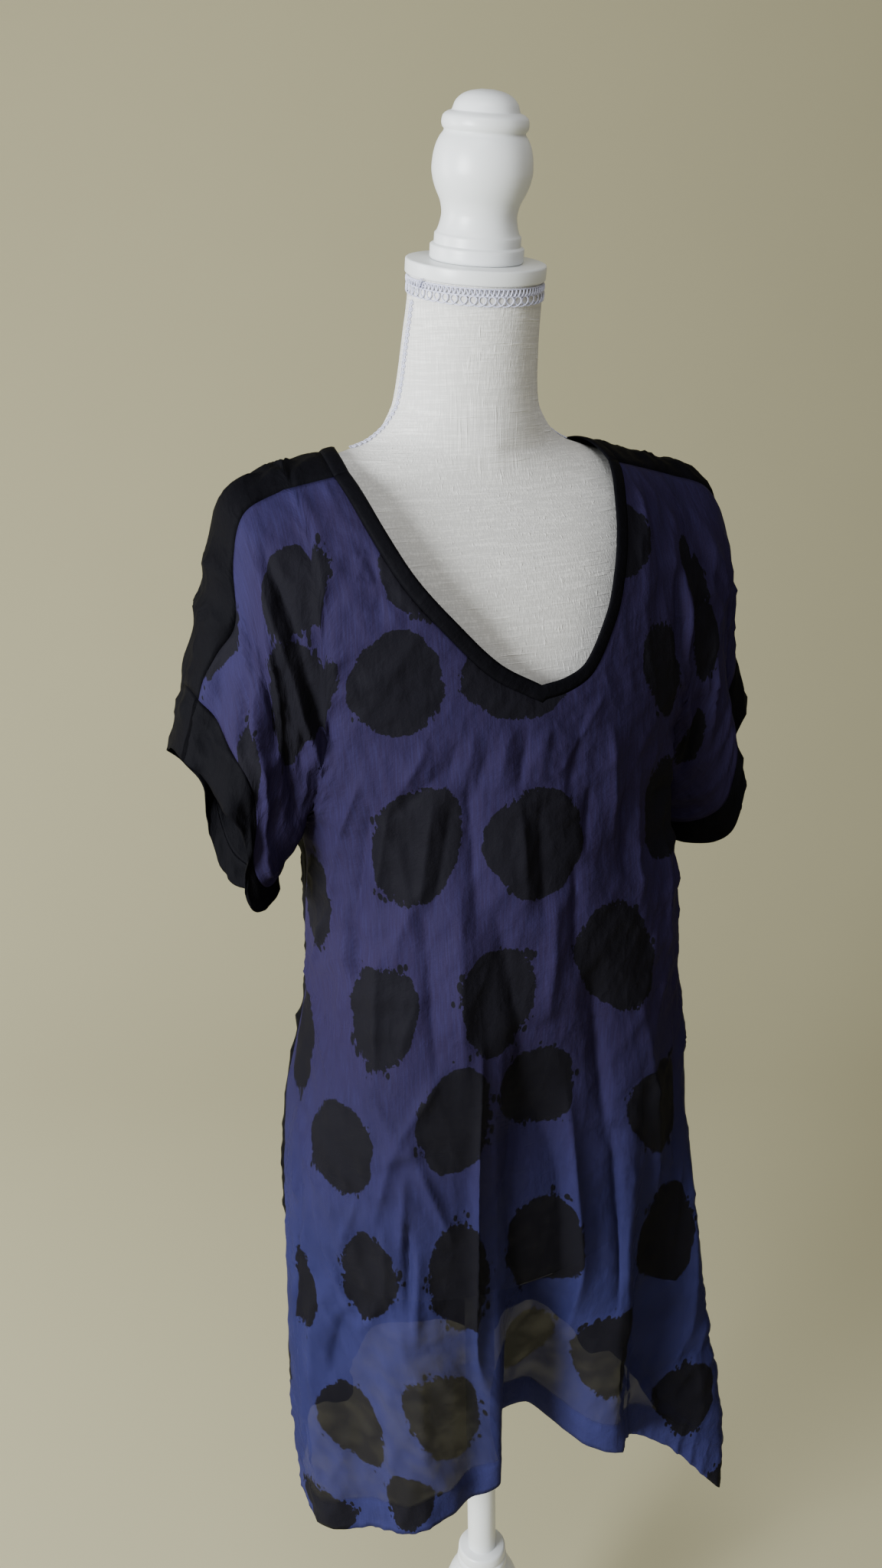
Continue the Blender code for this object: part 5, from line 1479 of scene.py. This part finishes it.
class TUNIC_OT_stage(bpy.types.Operator):
    """Pale floor and backdrop, soft lights and the camera"""
    bl_idname = "tunic.stage"
    bl_label = "Stage"

    def execute(self, context):
        settings = context.scene.tunic_stage
        self.floor(settings)
        for row in LIGHTS:
            self.light(*row)
        self.world(context)
        self.camera(context, settings)
        return {"FINISHED"}

    @staticmethod
    def floor(settings):
        """One sheet: the floor, which turns up behind the form in a wide cove."""
        bpy.ops.object.select_all(action="DESELECT")
        bpy.ops.mesh.primitive_plane_add(size=FLOOR_SIZE, location=(0, WALL_BEHIND - FLOOR_SIZE / 2, 0))
        made = bpy.context.active_object
        made.name = made.data.name = "floor"
        bpy.ops.object.transform_apply(location=True)
        bpy.ops.object.mode_set(mode="EDIT")
        bpy.ops.mesh.select_mode(type="EDGE")
        bpy.ops.mesh.select_all(action="DESELECT")
        bpy.ops.object.mode_set(mode="OBJECT")
        for edge in made.data.edges:
            edge.select = all(made.data.vertices[i].co.y > WALL_BEHIND - MM for i in edge.vertices)
        bpy.ops.object.mode_set(mode="EDIT")
        bpy.ops.mesh.extrude_edges_move(TRANSFORM_OT_translate={"value": (0.0, 0.0, WALL_HEIGHT)})
        bpy.ops.mesh.select_all(action="SELECT")
        bpy.ops.mesh.normals_make_consistent(inside=False)
        bpy.ops.object.mode_set(mode="OBJECT")
        apply_modifier(made, "BEVEL", width=COVE_RADIUS, segments=COVE_SEGMENTS, limit_method="ANGLE",
                       angle_limit=SHARP_ANGLE)
        made.matrix_world = Matrix.Rotation(-settings.heading, 4, "Z")
        bpy.ops.object.transform_apply(rotation=True)
        bpy.ops.object.shade_smooth()
        made.data.materials.append(matt_paint("backdrop_paint", settings.wall))

    @staticmethod
    def light(name, place, aim, size, power, colour):
        """A round soft lamp that faces its aim."""
        lamp = bpy.data.lights.new(name, "AREA")
        lamp.shape = "DISK"
        lamp.size = size
        lamp.energy = power
        lamp.color = colour
        made = placed(name, lamp)
        made.location = place
        made.rotation_euler = (Vector(aim) - Vector(place)).to_track_quat("-Z", "Y").to_euler()

    @staticmethod
    def world(context):
        world = bpy.data.worlds.new("studio")
        world.use_nodes = True
        background = world.node_tree.nodes["Background"]
        background.inputs["Color"].default_value = (*WORLD_COLOUR, 1.0)
        background.inputs["Strength"].default_value = WORLD_STRENGTH
        context.scene.world = world

    @staticmethod
    def camera(context, settings):
        """The view: turned to its heading, tipped down, then rolled about its own axis."""
        lens = bpy.data.cameras.new("view")
        lens.lens = settings.lens
        lens.sensor_width = 36.0
        lens.sensor_fit = "AUTO"
        made = placed("view", lens)
        made.matrix_world = (Matrix.Translation(settings.place) @ Matrix.Rotation(-settings.heading, 4, "Z")
                             @ Matrix.Rotation(math.pi / 2 - settings.pitch, 4, "X")
                             @ Matrix.Rotation(settings.roll, 4, "Z"))
        context.scene.camera = made


class TUNIC_PT_pieces(bpy.types.Panel):
    """Buttons for the pieces, in the order they are made"""
    bl_label = "Tunic top"
    bl_space_type = "VIEW_3D"
    bl_region_type = "UI"
    bl_category = "Tunic"

    def draw(self, context):
        for label in ("tunic_cloth", "tunic_form", "tunic_stage"):
            settings = getattr(context.scene, label)
            box = self.layout.box()
            for key in settings.__annotations__:
                box.prop(settings, key)
        for operator in OPERATORS:
            self.layout.operator(operator.bl_idname)


OPERATORS = (TUNIC_OT_form, TUNIC_OT_panels, TUNIC_OT_bands, TUNIC_OT_braids, TUNIC_OT_woodwork,
             TUNIC_OT_stage)
CLASSES = (ClothSettings, FormSettings, StageSettings) + OPERATORS + (TUNIC_PT_pieces,)


def register():
    for made in CLASSES:
        bpy.utils.register_class(made)
    bpy.types.Scene.tunic_cloth = PointerProperty(type=ClothSettings)
    bpy.types.Scene.tunic_form = PointerProperty(type=FormSettings)
    bpy.types.Scene.tunic_stage = PointerProperty(type=StageSettings)


def unregister():
    del bpy.types.Scene.tunic_cloth
    del bpy.types.Scene.tunic_form
    del bpy.types.Scene.tunic_stage
    for made in reversed(CLASSES):
        bpy.utils.unregister_class(made)


def main():
    register()
    bpy.ops.tunic.form()
    bpy.ops.tunic.panels()
    bpy.ops.tunic.bands()
    bpy.ops.tunic.braids()
    bpy.ops.tunic.woodwork()
    bpy.ops.tunic.stage()


if __name__ == "__main__":
    main()
